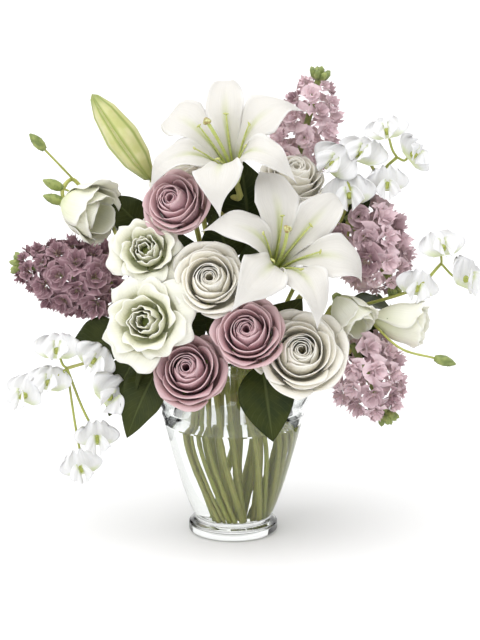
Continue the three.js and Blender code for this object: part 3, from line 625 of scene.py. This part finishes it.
# %% All lisianthus
OPEN_PLAN = [(0, 0.10, -0.03, 0.0, 0.86), (0.4, 0.30, -0.02, 0.04, 0.92), (0.7, 0.50, 0.20, 0.18, 0.88),
             (1, 0.62, 0.36, 0.34, 0.78)]
BELL_PLAN = [(0, 0.50, -0.10, 0.0, 1.0), (1, 0.78, 0.20, 0.08, 0.95)]
LISIANTHUS_HIP = [(0, -0.005), (0.003, -0.004), (0.0048, 0.0), (0.0045, 0.005), (0, 0.007)]
for number in range(1, 6):
    name = f"lisianthus_{number}"
    _, axis, depth, radius = seats[name]
    if number < 3:
        petals = cup(16, radius, depth - 0.002, 40 + number, OPEN_PLAN, span=(165, 118), ruffle=0.050,
                     waves=2.3, foot=0.004, belly=0.50, corner=0.06, tuck=0.10, rows=20, columns=35)
    else:
        petals = cup(8, radius, depth - 0.004, 40 + number, BELL_PLAN, span=(150, 130), ruffle=0.03,
                     waves=2.5, foot=0.004, belly=0.62)
    heart = [(0, 0.004), (0.003, 0.006), (0.0034, 0.4 * depth), (0.0045, 0.46 * depth),
             (0.002, 0.5 * depth), (0, 0.5 * depth)]
    set_bloom(name, basis(axis, number), petals, sepals(SEPALS, 0.020, 0.0035, 0.6, 0.004),
              [(LISIANTHUS_HIP, 16), (heart, 12)], lisianthus_petal)

# %% [markdown]
# ## The lily bud
# A closed lily bud is a long spindle of three outer tepals whose edges meet in shallow grooves. It
# is turned from a profile, with three soft corners round it.

# %% The lily bud
def along_node(node):
    """The two ends of a long node: its corners are spread most along one direction."""
    points = corners(node)
    middle = points.mean(axis=0)
    direction = np.linalg.svd(points - middle, full_matrices=False)[2][0]
    direction = direction * np.sign(direction[2])
    share = (points - middle) @ direction
    return middle + share.min() * direction, middle + share.max() * direction


bud_skin, tree, surface = material("lily bud skin", 0.45, Subsurface_Weight=0.1, Subsurface_Scale=0.004)
along, across, *_ = petal_marks(tree)
groove = maths(tree, "ABSOLUTE", maths(tree, "SINE", times(tree, across, 3 * math.pi)))
pale = blend(tree, spread(tree, speckle(tree, 60), 0.3, 0.7), (0.52, 0.54, 0.20, 1), (0.66, 0.64, 0.34, 1))
green = blend(tree, spread(tree, groove, 0.12, 0.7), (0.30, 0.36, 0.08, 1), pale)
ends = maths(tree, "MAXIMUM", spread(tree, along, 0.78, 1.0), rest(tree, spread(tree, along, 0.0, 0.25)))
paint(tree, surface, blend(tree, times(tree, ends, 0.8), green, (0.24, 0.30, 0.07, 1)))
relief(tree, surface, groove, 0.001)

BUD_RADIUS = 0.0158
low, high = along_node("lily_bud")
rise = np.linspace(0, 1, 26)
swell = np.interp(rise, [0, 0.04, 0.25, 0.5, 0.8, 0.97, 1], [0, 0.34, 0.84, 1, 0.70, 0.24, 0])
profile = np.stack([BUD_RADIUS * swell, np.linalg.norm(high - low) * rise], axis=-1)
bud = lathe(profile, low, basis(high - low), 36, 0.07, 3)
piece("fine_lily_bud", [skin(bud, 0.0, 0)], [bud_skin], ["lily_bud"])

# %% [markdown]
# ## Stock
# Stock carries double florets packed round a soft spike, largest at the bottom, with green buds at
# the tip. A floret is repeated many times, so it is only a handful of small ruffled petals. Florets
# sit at golden angles up the spike and face outwards and a little upwards.

# %% A floret and a spike of them
FLORET_PETALS = 12


def floret(rng, rows=4, columns=5):
    """A double floret of radius one facing up: cupped petals at golden angles, with a wavy lip."""
    petals = FLORET_PETALS
    age = np.linspace(0, 1, petals)[:, None, None]
    along, across = shares(rows, columns)
    reach = (0.32 + 0.68 * age) * (0.15 + 0.85 * along) * rng.uniform(0.82, 1.12, (petals, 1, 1))
    height = (0.85 - 0.80 * age) * along + 0.30 * along * (1 - along)
    height = height + 0.20 * along * np.sin(2.6 * np.pi * across + rng.uniform(0, 6.3, (petals, 1, 1)))
    width = (1.05 - 0.25 * age) * (0.30 + 0.70 * along)
    angle = GOLDEN * np.arange(petals)[:, None, None] + across * width
    height = height - 0.2 * np.abs(across) ** 2 * along * age
    return polar(reach, angle, height)


def turns(axes):
    """For each axis, three rows that stand on it: sideways, upwards and along."""
    side = unit(np.cross([0.13, 0.21, 0.97], axes))
    return np.stack([side, np.cross(axes, side), axes], axis=1)


stock_petal = petal_finish("stock petal", (0.40, 0.34, 0.19), (0.31, 0.18, 0.21), (0.50, 0.34, 0.37),
                           throat_end=0.35, veins=10, rough=0.65, tone_color=(0.86, 0.68, 0.72),
                           tone_share=0.95)
EGG = [(0, 0), (0.0022, 0.001), (0.0034, 0.005), (0.0022, 0.010), (0, 0.012)]
for name, count, size, pale in (("left_stock", 38, 0.0165, -0.4), ("top_stock", 30, 0.0145, 0.92),
                                ("right_stock", 32, 0.0165, 0.85), ("low_stock", 30, 0.0150, 0.85)):
    rng = np.random.default_rng(len(name) + count)
    low, high = along_node(name + "_spike")
    if np.linalg.norm(low[:2]) > np.linalg.norm(high[:2]):
        low, high = high, low
    axis = unit(high - low)
    length = np.linalg.norm(high - low)
    spike = corners(name + "_spike")
    height = (spike - low) @ axis
    girth = np.linalg.norm(spike - low - height[:, None] * axis, axis=1).max()
    share = (np.arange(count) + 0.5) / count
    swell = np.interp(share, [0, 0.12, 0.5, 0.8, 1], [0.55, 0.95, 1.0, 0.72, 0.30])
    scale = size * np.interp(share, [0, 0.6, 1], [1.0, 0.95, 0.5]) * rng.uniform(0.75, 1.15, count)
    angle = GOLDEN * np.arange(count)
    turn = basis(axis)
    outward = np.cos(angle)[:, None] * turn[0] + np.sin(angle)[:, None] * turn[1]
    face = unit(outward + (0.15 + 0.9 * share[:, None] ** 3) * axis + 0.22 * rng.normal(size=(count, 3)))
    hold = low + axis * (share * (length - 0.006))[:, None]
    hold = hold + outward * (swell * (girth - 0.55 * size))[:, None] * 0.8
    flowers = np.concatenate([(floret(rng) * s) @ t + h for s, t, h in zip(scale, turns(face), hold)])
    tone = np.repeat(np.clip(pale + 0.3 * rng.normal(size=count), 0, 1), FLORET_PETALS)
    core = smooth_line([low - 0.004 * axis, (low + high) / 2, high], 12)
    parts = [sheets(flowers, tone), skin(tube(core, 0.0032, 8))]
    for number in range(9):
        way = unit(axis + 0.8 * outward[number] * (number > 0))
        start = high - axis * 0.010
        parts.append(skin(lathe(EGG, start + way * 0.004, basis(way), 10)))
    piece("fine_" + name, parts, [stock_petal, calyx_green], [name + "_spike"])

# %% [markdown]
# ## Sweet peas
# A sweet pea has a wide upright banner, two wings folded together before it and a small keel. The
# flowers of one stem were planned in the CAD part at these places. They are given here again with
# the way each one faces, because the small flowers of a node can't be told apart by its corners.

# %% A sweet pea flower
RIM_HEIGHT = float(corners("glass_vase")[:, 2].max()) - 0.001
MILLIMETRE = 0.001
PEA_SIZE = 0.0205


def planned(places):
    """Planned places, or one of them, in millimetres from the middle of the rim, as metres."""
    return np.asarray(places, float) * MILLIMETRE + [0.0, 0.0, RIM_HEIGHT]


def pea_flower(size, rng):
    """Banner and two wings in the flower's own frame: up is the second axis, front the third.

    The banner is a wide sheet whose half width is a sine to a low power, and whose lip waves, rolls
    back and is notched in the middle. A wing is a small sheet that stands beside the middle."""
    along, across = shares(10, 13)
    half = size * 1.15 * np.sin(np.pi * (0.08 + 0.80 * along)) ** 0.55
    wave = 0.22 * size * along**1.5 * np.sin(3.6 * np.pi * across + rng.uniform(0, 6.3))
    notch = 0.12 * np.exp(-((across / 0.12) ** 2)) * along**4
    tall = size * (1.25 * along - 0.22 * across**2 * along - notch)
    back = -0.35 * size * along**2 + 0.20 * size * across**2 * along + wave
    banner = points_of(half * across, tall - 0.35 * size, back + 0.12 * size)[None]
    wings = []
    for hand in (-1, 1):
        width = 0.52 * size * np.sin(np.pi * (0.1 + 0.75 * along)) ** 0.7
        side = hand * (0.10 + 0.28 * along * (1 + across)) * size
        front = size * (0.35 + 0.40 * along + 0.05 * np.sin(2 * np.pi * across + hand))
        tall = 0.25 * size - 0.55 * size * along + width * across * 0.8
        wings.append(points_of(side, tall, front)[None])
    return banner, np.concatenate(wings)


pea_petal = petal_finish("sweet pea petal", (0.62, 0.68, 0.40), (0.80, 0.80, 0.80), (0.84, 0.84, 0.85),
                         throat_end=0.35, veins=18, rough=0.5, glow=0.18)
stem_green, tree, surface = material("stem", 0.42, Subsurface_Weight=0.05, Subsurface_Scale=0.002)
*_, tone, whole = petal_marks(tree)
streak = add_node(tree, "Mapping", Vector=whole, Scale=(6.0, 9.0, 5.0)).outputs[0]
streaks = add_node(tree, "TexNoise", Vector=streak, Scale=1.0, Detail=3.0).outputs["Fac"]
fresh = blend(tree, spread(tree, streaks, 0.3, 0.7), (0.25, 0.31, 0.045, 1), (0.50, 0.53, 0.12, 1))
fresh = blend(tree, times(tree, tone, 0.6), fresh, (0.48, 0.45, 0.16, 1))
paint(tree, surface, blend(tree, spread(tree, speckle(tree, 55), 0.55, 0.8), fresh, (0.24, 0.25, 0.07, 1)))
relief(tree, surface, streaks, 0.0006)

KEEL = [(0, -0.006), (0.0022, -0.005), (0.0036, -0.001), (0.0030, 0.004), (0, 0.010)]
TWIG_LINK, TWIG_CORNERS = 0.0026, 5
SHOOT_TOPS = {"upper_sweet_pea": [150, -4, 184], "right_sweet_pea": [190, -28, 90],
              "left_sweet_pea": [-150, -62, 0]}
PEAS = {
    "upper_sweet_pea": [
        ([163, -8, 186], [0.5, -0.8, 0.2]), ([140, -16, 208], [-0.2, -0.9, 0.4]),
        ([118, -12, 186], [-0.3, -0.8, 0.5]), ([139, -22, 162], [0.1, -0.9, -0.3]),
        ([92, -14, 178], [-0.4, -0.8, 0.3]), ([106, -26, 152], [-0.1, -0.9, 0])],
    "right_sweet_pea": [
        ([190, -32, 104], [0.2, -0.9, 0.4]), ([166, -42, 70], [0.1, -0.95, -0.2]),
        ([210, -30, 76], [0.7, -0.6, -0.1])],
    "left_sweet_pea": [
        ([-166, -64, -14], [-0.2, -0.9, 0.3]), ([-188, -58, -26], [-0.6, -0.7, -0.2]),
        ([-158, -66, 16], [-0.1, -0.9, 0.4]), ([-126, -68, 8], [0.1, -0.95, 0.1]),
        ([-112, -72, -24], [0.2, -0.9, -0.1]), ([-124, -62, -66], [0.1, -0.9, -0.3]),
        ([-138, -60, -94], [0, -0.9, -0.3])],
}


def stem_tube(line, radius, rng):
    """A smooth tube along a centre line, with a slight taper and a swelling at each of its joints."""
    smooth = smooth_line(line, 8 * len(line))
    way = np.linspace(0, 1, len(smooth))
    knots = 1 + 0.18 * np.exp(-((((way * 6 + rng.uniform()) % 1) - 0.5) / 0.05) ** 2)
    return tube(smooth, radius * knots * (1.06 - 0.14 * way), 14)


for node, flowers in PEAS.items():
    rng = np.random.default_rng(len(flowers))
    main = centre_line(rings(node, TWIG_LINK, TWIG_CORNERS), planned(SHOOT_TOPS[node]))
    parts = [skin(stem_tube(main, 0.0013, rng), rng.uniform())]
    for place, face in flowers:
        at = planned(place)
        turn = basis(face, rng.normal(0, 0.35))
        banner, wings = pea_flower(PEA_SIZE * rng.uniform(0.85, 1.1), rng)
        parts.append(sheets(banner @ turn + at, [rng.uniform()]))
        parts.append(sheets(wings @ turn + at, rng.uniform(size=2)))
        joint = nearest(main[3:], at)
        sag = (joint + at) / 2 + [0, 0, -0.004]
        parts.append(skin(tube(smooth_line([joint, sag, at - 0.004 * turn[2]], 9), 0.0009, 8), 0.2))
        parts.append(skin(lathe(KEEL, at, turn, 12)))
    piece("fine_" + node, parts, [pea_petal, stem_green], [node], thickness=0.0005)

# %% [markdown]
# ## Leaves
# Leathery dark leaves fill the gaps. Each is a pointed oval with a fold along its middle, side veins
# that curve forwards, and a slightly wavy margin. As with the sweet peas, the places of the leaves
# are the CAD part's own plan: base, tip, width, the way the upper side faces and how far it bows.
# Six of them aren't in the CAD part and only fill gaps between the blooms.

# %% Leaf finish
VEINS, VEIN_LEAN = 11.0, 3.0
leaf_green, tree, surface = material("leaf", 0.5, Specular_IOR_Level=0.16)
along, across, tone, _ = petal_marks(tree)
off = maths(tree, "ABSOLUTE", across)
forward = maths(tree, "SUBTRACT", times(tree, along, VEINS), times(tree, off, VEIN_LEAN))
veinlet = maths(tree, "ABSOLUTE", maths(tree, "SINE", times(tree, forward, math.pi)))
vein = rest(tree, spread(tree, veinlet, 0.03, 0.26))
middle = rest(tree, spread(tree, off, 0.02, 0.09))
lines = maths(tree, "MAXIMUM", times(tree, vein, 0.45), middle)
patches = spread(tree, speckle(tree, 45), 0.3, 0.7)
deep = blend(tree, patches, (0.012, 0.022, 0.004, 1), (0.034, 0.044, 0.006, 1))
deep = blend(tree, times(tree, tone, 0.4), deep, (0.055, 0.062, 0.018, 1))
paint(tree, surface, blend(tree, times(tree, lines, 0.45), deep, (0.10, 0.12, 0.04, 1)))
grain = times(tree, speckle(tree, 300), 0.2)
relief(tree, surface, maths(tree, "ADD", times(tree, lines, -1.0), grain), 0.0012)

# %% The leaf surface and its sprays
def leaf(base, tip, width, face, bow, rng):
    """A pointed oval sheet from base to tip.

    The half width is a sine of a power of the way along. The sheet bows towards its upper side,
    folds along the middle and waves at its margin."""
    start, end = planned([base, tip])
    way = end - start
    length = np.linalg.norm(way)
    way = way / length
    side = unit(np.cross(face, way))
    up = np.cross(way, side)
    along, across = shares(26, 15)
    half = 0.5 * width * MILLIMETRE * np.sin(np.pi * along**0.8) ** 0.9 + 0.0002
    bend = bow * MILLIMETRE * np.sin(np.pi * along) - 0.006 * along**3
    fold = 0.22 * half * np.abs(across) ** 1.3
    wave = 0.0016 * np.abs(across) ** 3 * np.sin(2 * np.pi * (3 * along + rng.uniform()))
    lift = bend + fold + wave * np.sin(np.pi * along)
    middle = start + along[..., None] * length * way
    return (middle + (half * across)[..., None] * side + lift[..., None] * up)[None]


LEAVES = {
    "front_leaf_spray": [([26, -72, 6], [36, -100, -58], 50, [0, -1, 0.3], 4)],
    "left_leaf_spray": [
        ([-58, -48, 22], [-30, -40, 62], 46, [0.1, -0.95, 0.2], 3),
        ([-66, -60, 4], [-96, -92, -56], 40, [-0.2, -0.9, 0.3], 4),
        ([-86, -56, 12], [-114, -72, -42], 34, [-0.3, -0.9, 0.3], 4),
        ([-96, -46, 24], [-150, -40, 14], 44, [0, -0.9, 0.4], 4)],
    "upper_left_leaf_spray": [
        ([-84, 6, 116], [-112, -8, 148], 34, [0, -0.9, 0.3], 3),
        ([-86, 22, 104], [-140, 44, 116], 46, [-0.2, 0.6, 0.8], 4),
        ([-76, 4, 96], [-34, -22, 104], 40, [0.1, -0.95, 0.2], 3)],
    "right_leaf_spray": [
        ([98, -18, 32], [134, -22, 2], 40, [0, -0.9, 0.4], 4),
        ([94, 14, 40], [150, 42, 34], 46, [0, 0.4, 0.9], 4)],
    "upper_right_leaf_spray": [
        ([98, 4, 124], [124, -10, 150], 36, [0, -0.9, 0.4], 3),
        ([94, 24, 118], [132, 52, 140], 44, [0.2, 0.7, 0.6], 4)],
    "upper_leaf_spray": [
        ([14, 8, 124], [8, -14, 180], 50, [0, -0.95, 0.2], 3),
        ([22, 22, 118], [60, 40, 166], 46, [0.1, 0.9, 0.3], 3),
        ([10, 22, 114], [-36, 40, 150], 46, [-0.1, 0.9, 0.3], 3),
        ([-2, -16, 92], [-16, -42, 136], 44, [-0.1, -0.95, 0.2], 3),
        ([26, -10, 78], [20, -40, 118], 44, [0.1, -0.95, 0.2], 3),
        ([20, -26, 14], [-30, -38, 56], 46, [-0.1, -0.95, 0.2], 3),
        ([24, -30, 10], [62, -44, 58], 46, [0.1, -0.95, 0.2], 3)],
    "back_leaf_spray": [
        ([28, 76, 46], [34, 124, 78], 50, [0, -0.3, 0.9], 4),
        ([20, 70, 40], [-46, 92, 54], 48, [-0.2, 0.3, 0.9], 4),
        ([36, 68, 40], [86, 88, 56], 48, [0.2, 0.3, 0.9], 4)],
}
for node, leaves in LEAVES.items():
    rng = np.random.default_rng(len(node))
    main = centre_line(rings(node, TWIG_LINK, TWIG_CORNERS), planned(leaves[0][0]))
    parts = [skin(stem_tube(main, 0.0017, rng), 0.4)]
    for base, tip, width, face, bow in leaves:
        parts.append(sheets(leaf(base, tip, width, face, bow, rng), [rng.uniform()]))
        held = planned(base)
        joint = nearest(main, held)
        parts.append(skin(tube(smooth_line([joint, (joint + held) / 2, held], 8), 0.0011, 8), 0.4))
    piece("fine_" + node, parts, [leaf_green, stem_green], [node], thickness=0.0006)

# %% [markdown]
# ## Stems
# The stems follow the CAD rings exactly, as smooth tubes with faint joints. The buds of the
# lisianthus are small pointed spindles at the ends of the side shoots.

# %% All flower stems
SPINDLE = [(0, 0), (0.0026, 0.0006), (0.0043, 0.005), (0.0048, 0.0105), (0.0032, 0.0165),
           (0.0010, 0.0205), (0, 0.021)]
STEM_RADII = {"lisianthus": 0.0020, "rose": 0.0026, "lily": 0.0030, "stock": 0.0027}
STEM_LINK, THIN_LINK, STEM_CORNERS, LEAST_GAP = 0.0038, 0.0024, 4, 0.004


def spindle_bud(tip, way):
    """A small pointed bud at a shoot's end: a spindle with five soft corners, held by sepals."""
    bud = lathe(SPINDLE, tip - 0.0012 * way, basis(way), 18, 0.10, 5)
    leafy = sepals(SEPALS, 0.016, 0.0032, 0.16, 0.0022)
    return [skin(bud, 0.3), sheets(leafy @ basis(way) + tip, np.zeros(SEPALS), 1)]


def shoot(main, knee, tip, radius, rng):
    """A side shoot from the closest joint of a stem, over a knee, to its tip."""
    return skin(stem_tube([nearest(main, knee), knee, tip], radius, rng), 0.4, 0)


BUD_SHOOTS = {
    "lisianthus_3_stem": [([-138, 14, 150], [-173, 4, 190]), ([-128, 10, 140], [-157, 2, 154]),
                          ([-118, 8, 128], [-156, -2, 142])],
    "lisianthus_4_stem": [([150, -78, 22], [182, -76, 12])],
}
BLOOM_SHOOTS = {"lisianthus_4_stem": ([98, -44, 60], seats["lisianthus_5"][0]),
                "upper_lily_stem": ([-38, 8, 142], along_node("lily_bud")[0])}
for node in sorted(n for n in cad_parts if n.endswith("_stem")):
    rng = np.random.default_rng(len(node) * 7)
    radius = next(r for kind, r in STEM_RADII.items() if kind in node)
    name = node.removesuffix("_stem")
    if name in seats:
        end = seats[name][0]
    elif "lily" in node:
        end = lily_place(name)[0]
    else:
        low, high = along_node(name + "_spike")
        end = low if np.linalg.norm(low[:2]) < np.linalg.norm(high[:2]) else high
    link = THIN_LINK if "lisianthus" in node else STEM_LINK
    main = centre_line(rings(node, link, STEM_CORNERS), end)
    if np.linalg.norm(main[-1] - end) > LEAST_GAP:
        main = np.concatenate([main, [end]])
    parts = [skin(stem_tube(main, radius, rng), rng.uniform(), 0)]
    for knee, tip in BUD_SHOOTS.get(node, []):
        knee, tip = planned([knee, tip])
        parts.append(shoot(main, knee, tip, 0.0011, rng))
        parts += spindle_bud(tip, unit(tip - knee))
    if node in BLOOM_SHOOTS:
        knee, tip = BLOOM_SHOOTS[node]
        parts.append(shoot(main, planned(knee), tip, 0.0021, rng))
    piece("fine_" + node, parts, [stem_green, calyx_green], [node])

# %% [markdown]
# ## The glass vase and its water
# The vase is a body of revolution: a rounded disc of a foot, a narrow waist, a belly that widens to
# the shoulder, a neck and a flared rim. Its wall is one closed skin, outside and inside. Glass in
# air bends light by 1.5, and glass against water by far less, 1.5 over 1.33, so the part of the
# inside that is under water is a second material with that ratio. The water then only needs its
# flat top to bend light, and its sides stay clear, because the wall already does their work.

# %% Glass and water materials
def clear(name, bending, color):
    """A perfectly smooth material that lets light through and bends it by a ratio."""
    return material(name, 0.0, Transmission_Weight=1.0, IOR=bending, Base_Color=(*color, 1))[0]


clear_glass = clear("vase glass", 1.5, (0.93, 0.945, 0.935))
wet_glass = clear("vase glass against water", 1.128, (0.985, 0.995, 0.985))
water_top = clear("water surface", 1.33, (0.98, 0.995, 0.985))
water_side = material("water against glass", 0.0, Alpha=0.0)[0]

# %% The vase's profile, turned
WALL, FLOOR, RIM, VASE_SIDES = 0.003, 0.014, 0.172, 160
WAIST_RADIUS, WAIST_HEIGHT, BELLY_RADIUS, BELLY_HEIGHT = 0.036, 0.016, 0.072, 0.134
FOOT_FLAT, FOOT_EDGE, FOOT_TOP, FILM = 0.0385, 0.0035, 0.0075, 0.0002
water_high = float(corners("water")[:, 2].max())


def body_line(samples):
    """Outside of the body: the radius grows from the waist to the belly as a power of the height."""
    share = np.linspace(0, 1, samples)
    radius = WAIST_RADIUS + (BELLY_RADIUS - WAIST_RADIUS) * share**0.8
    shoulder = smooth_line([(BELLY_RADIUS - 0.0042, BELLY_HEIGHT - 0.014), (BELLY_RADIUS, BELLY_HEIGHT),
                            (0.0647, 0.1484), (0.046, 0.158), (0.0475, 0.165), (0.055, RIM)], 60)
    rising = np.stack([radius, WAIST_HEIGHT + (BELLY_HEIGHT - WAIST_HEIGHT) * share], axis=-1)
    return np.concatenate([rising[rising[:, 1] < BELLY_HEIGHT - 0.016], shoulder])


def offset(line, distance):
    """The line moved sideways by a distance, square to its own direction."""
    way = unit(np.gradient(line, axis=0))
    return line + distance * np.stack([-way[:, 1], way[:, 0]], axis=-1)


def foot_edge(height, angle):
    """Part of a small circle that rounds the edge of the foot's disc at a height."""
    middle = np.array([FOOT_FLAT, height])
    return middle + FOOT_EDGE * np.stack([np.cos(angle), np.sin(angle)], axis=-1)


def upright(profile):
    """A skin turned round the vase's own axis."""
    return lathe(profile, np.zeros(3), np.eye(3), VASE_SIDES)


body = body_line(70)
quarter = np.linspace(-np.pi / 2, 0, 8)
foot = np.concatenate([[(0, 0)], foot_edge(FOOT_EDGE, quarter), foot_edge(FOOT_TOP, -quarter[::-1]),
                       [(0.0368, 0.0123), (0.0358, 0.0140)]])
inside = offset(body, WALL)[::-1]
inside = inside[inside[:, 1] > FLOOR + 0.006]
well = smooth_line([inside[-1], (0.0315, FLOOR + 0.0024), (0.0280, FLOOR), (0.014, FLOOR), (0.0, FLOOR)], 16)
lip = np.array([(0.0546, RIM + 0.0009), (0.0535, RIM + 0.0012), (0.0525, RIM + 0.0006)])
dry = inside[inside[:, 1] > water_high]
wet = np.concatenate([dry[-1:], inside[inside[:, 1] <= water_high], well[1:]])
shells = [skin(upright(np.concatenate([foot, body, lip, dry])), 0.0, 0), skin(upright(wet))]
vase = piece("clear_vase", shells, [clear_glass, wet_glass], ["glass_vase"])

pool = np.concatenate([[(0, water_high)], [(dry[-1][0] - FILM, water_high)], wet[1:] - [FILM, -FILM]])
pool[-1] = (0, FLOOR + FILM)
water = piece("still_water", [skin(upright(pool[:2]), 0.0, 0), skin(upright(pool[1:]))],
              [water_top, water_side], ["water"])
for made in (vase, water):
    rework(made.data, lambda shell: bmesh.ops.recalc_face_normals(shell, faces=shell.faces))
print("water stands at", round(water_high, 4), "in a vase", round(float(body[:, 1].max()), 3), "high")

# %% [markdown]
# ## Floor, light and camera
# The arrangement stands on a plain white floor in an even white studio, which lights matt surfaces
# less than its own white looks. A very broad lamp overhead and a narrower key lamp from the upper
# left front give the petals their form and lay a pale shadow to the right. Two dark cards beside the
# vase are what gives clear glass its dark edges: without them it would melt into the white. They are
# hidden from the camera, so they don't stand in any view.

# %% The stage
def card(name, middle, width, height, facing, color):
    """A flat card of the stage, square to the way it faces."""
    turn = basis(facing)
    across, up = width / 2 * turn[0], height / 2 * turn[1]
    square = [-across - up, across - up, across + up, -across + up]
    mesh = bpy.data.meshes.new(name)
    mesh.from_pydata([tuple(np.array(middle) + c) for c in square], [], [(0, 1, 2, 3)])
    mesh.materials.append(material(name, 0.9, Base_Color=(*color, 1))[0])
    made = add_object(name, mesh)
    return made


def glass_card(name, middle, width, height, facing):
    """A dark card that only shows in glass and gloss: it is hidden from the camera and casts nothing."""
    made = card(name, middle, width, height, facing, (0.03, 0.03, 0.03))
    made.visible_camera = made.visible_diffuse = made.visible_shadow = False


card("floor", (0, 4.0, -0.0004), 30.0, 30.0, (0.0001, 0, 1), (0.97, 0.97, 0.97))
glass_card("left_dark_card", (-0.20, 0.10, 0.06), 0.26, 0.13, (0.89, -0.45, 0))
glass_card("right_dark_card", (0.22, 0.08, 0.06), 0.20, 0.13, (-0.94, -0.34, 0))

SEEN_WHITE, LESS_FOR_MATT = 1.08, 0.46
world = bpy.data.worlds.new("studio")
world.use_nodes = True
tree = world.node_tree
studio = tree.nodes["Background"]
studio.inputs["Color"].default_value = (1.0, 1.0, 1.0, 1)
scattered = add_node(tree, "LightPath").outputs["Is Diffuse Ray"]
tree.links.new(maths(tree, "SUBTRACT", SEEN_WHITE, times(tree, scattered, LESS_FOR_MATT)),
               studio.inputs["Strength"])
bpy.context.scene.world = world


def lamp(name, place, softness, power):
    """A far soft lamp in the direction of a place, whose light is the same all over the floor."""
    data = bpy.data.lights.new(name, "SUN")
    data.angle, data.energy = math.radians(softness), power
    made = add_object(name, data)
    made.location = place
    lean = math.acos(place[2] / math.dist(place, (0, 0, 0)))
    made.rotation_euler = (lean, 0, math.atan2(place[1], place[0]) + math.pi / 2)
    print("lamp", name, "of softness", softness)


lamp("overhead", (-0.5, -0.4, 2.3), 110, 1.3)
lamp("key", (-0.8, -1.2, 2.3), 80, 1.3)

# %% The camera
DISTANCE, EYE_HEIGHT, LOOK_DOWN, LENS = 2.0, 0.65, 12.6, 123.9
lens_data = bpy.data.cameras.new("camera")
lens_data.sensor_fit, lens_data.sensor_height, lens_data.lens = "VERTICAL", 36.0, LENS
camera = add_object("camera", lens_data)
camera.location = (0.0065, -DISTANCE, EYE_HEIGHT)
camera.rotation_euler = (math.radians(90 - LOOK_DOWN), 0, 0)
bpy.context.scene.camera = camera
bpy.context.scene.view_settings.view_transform = "Standard"
print("camera at", DISTANCE, "m, looking down by", LOOK_DOWN, "degrees")
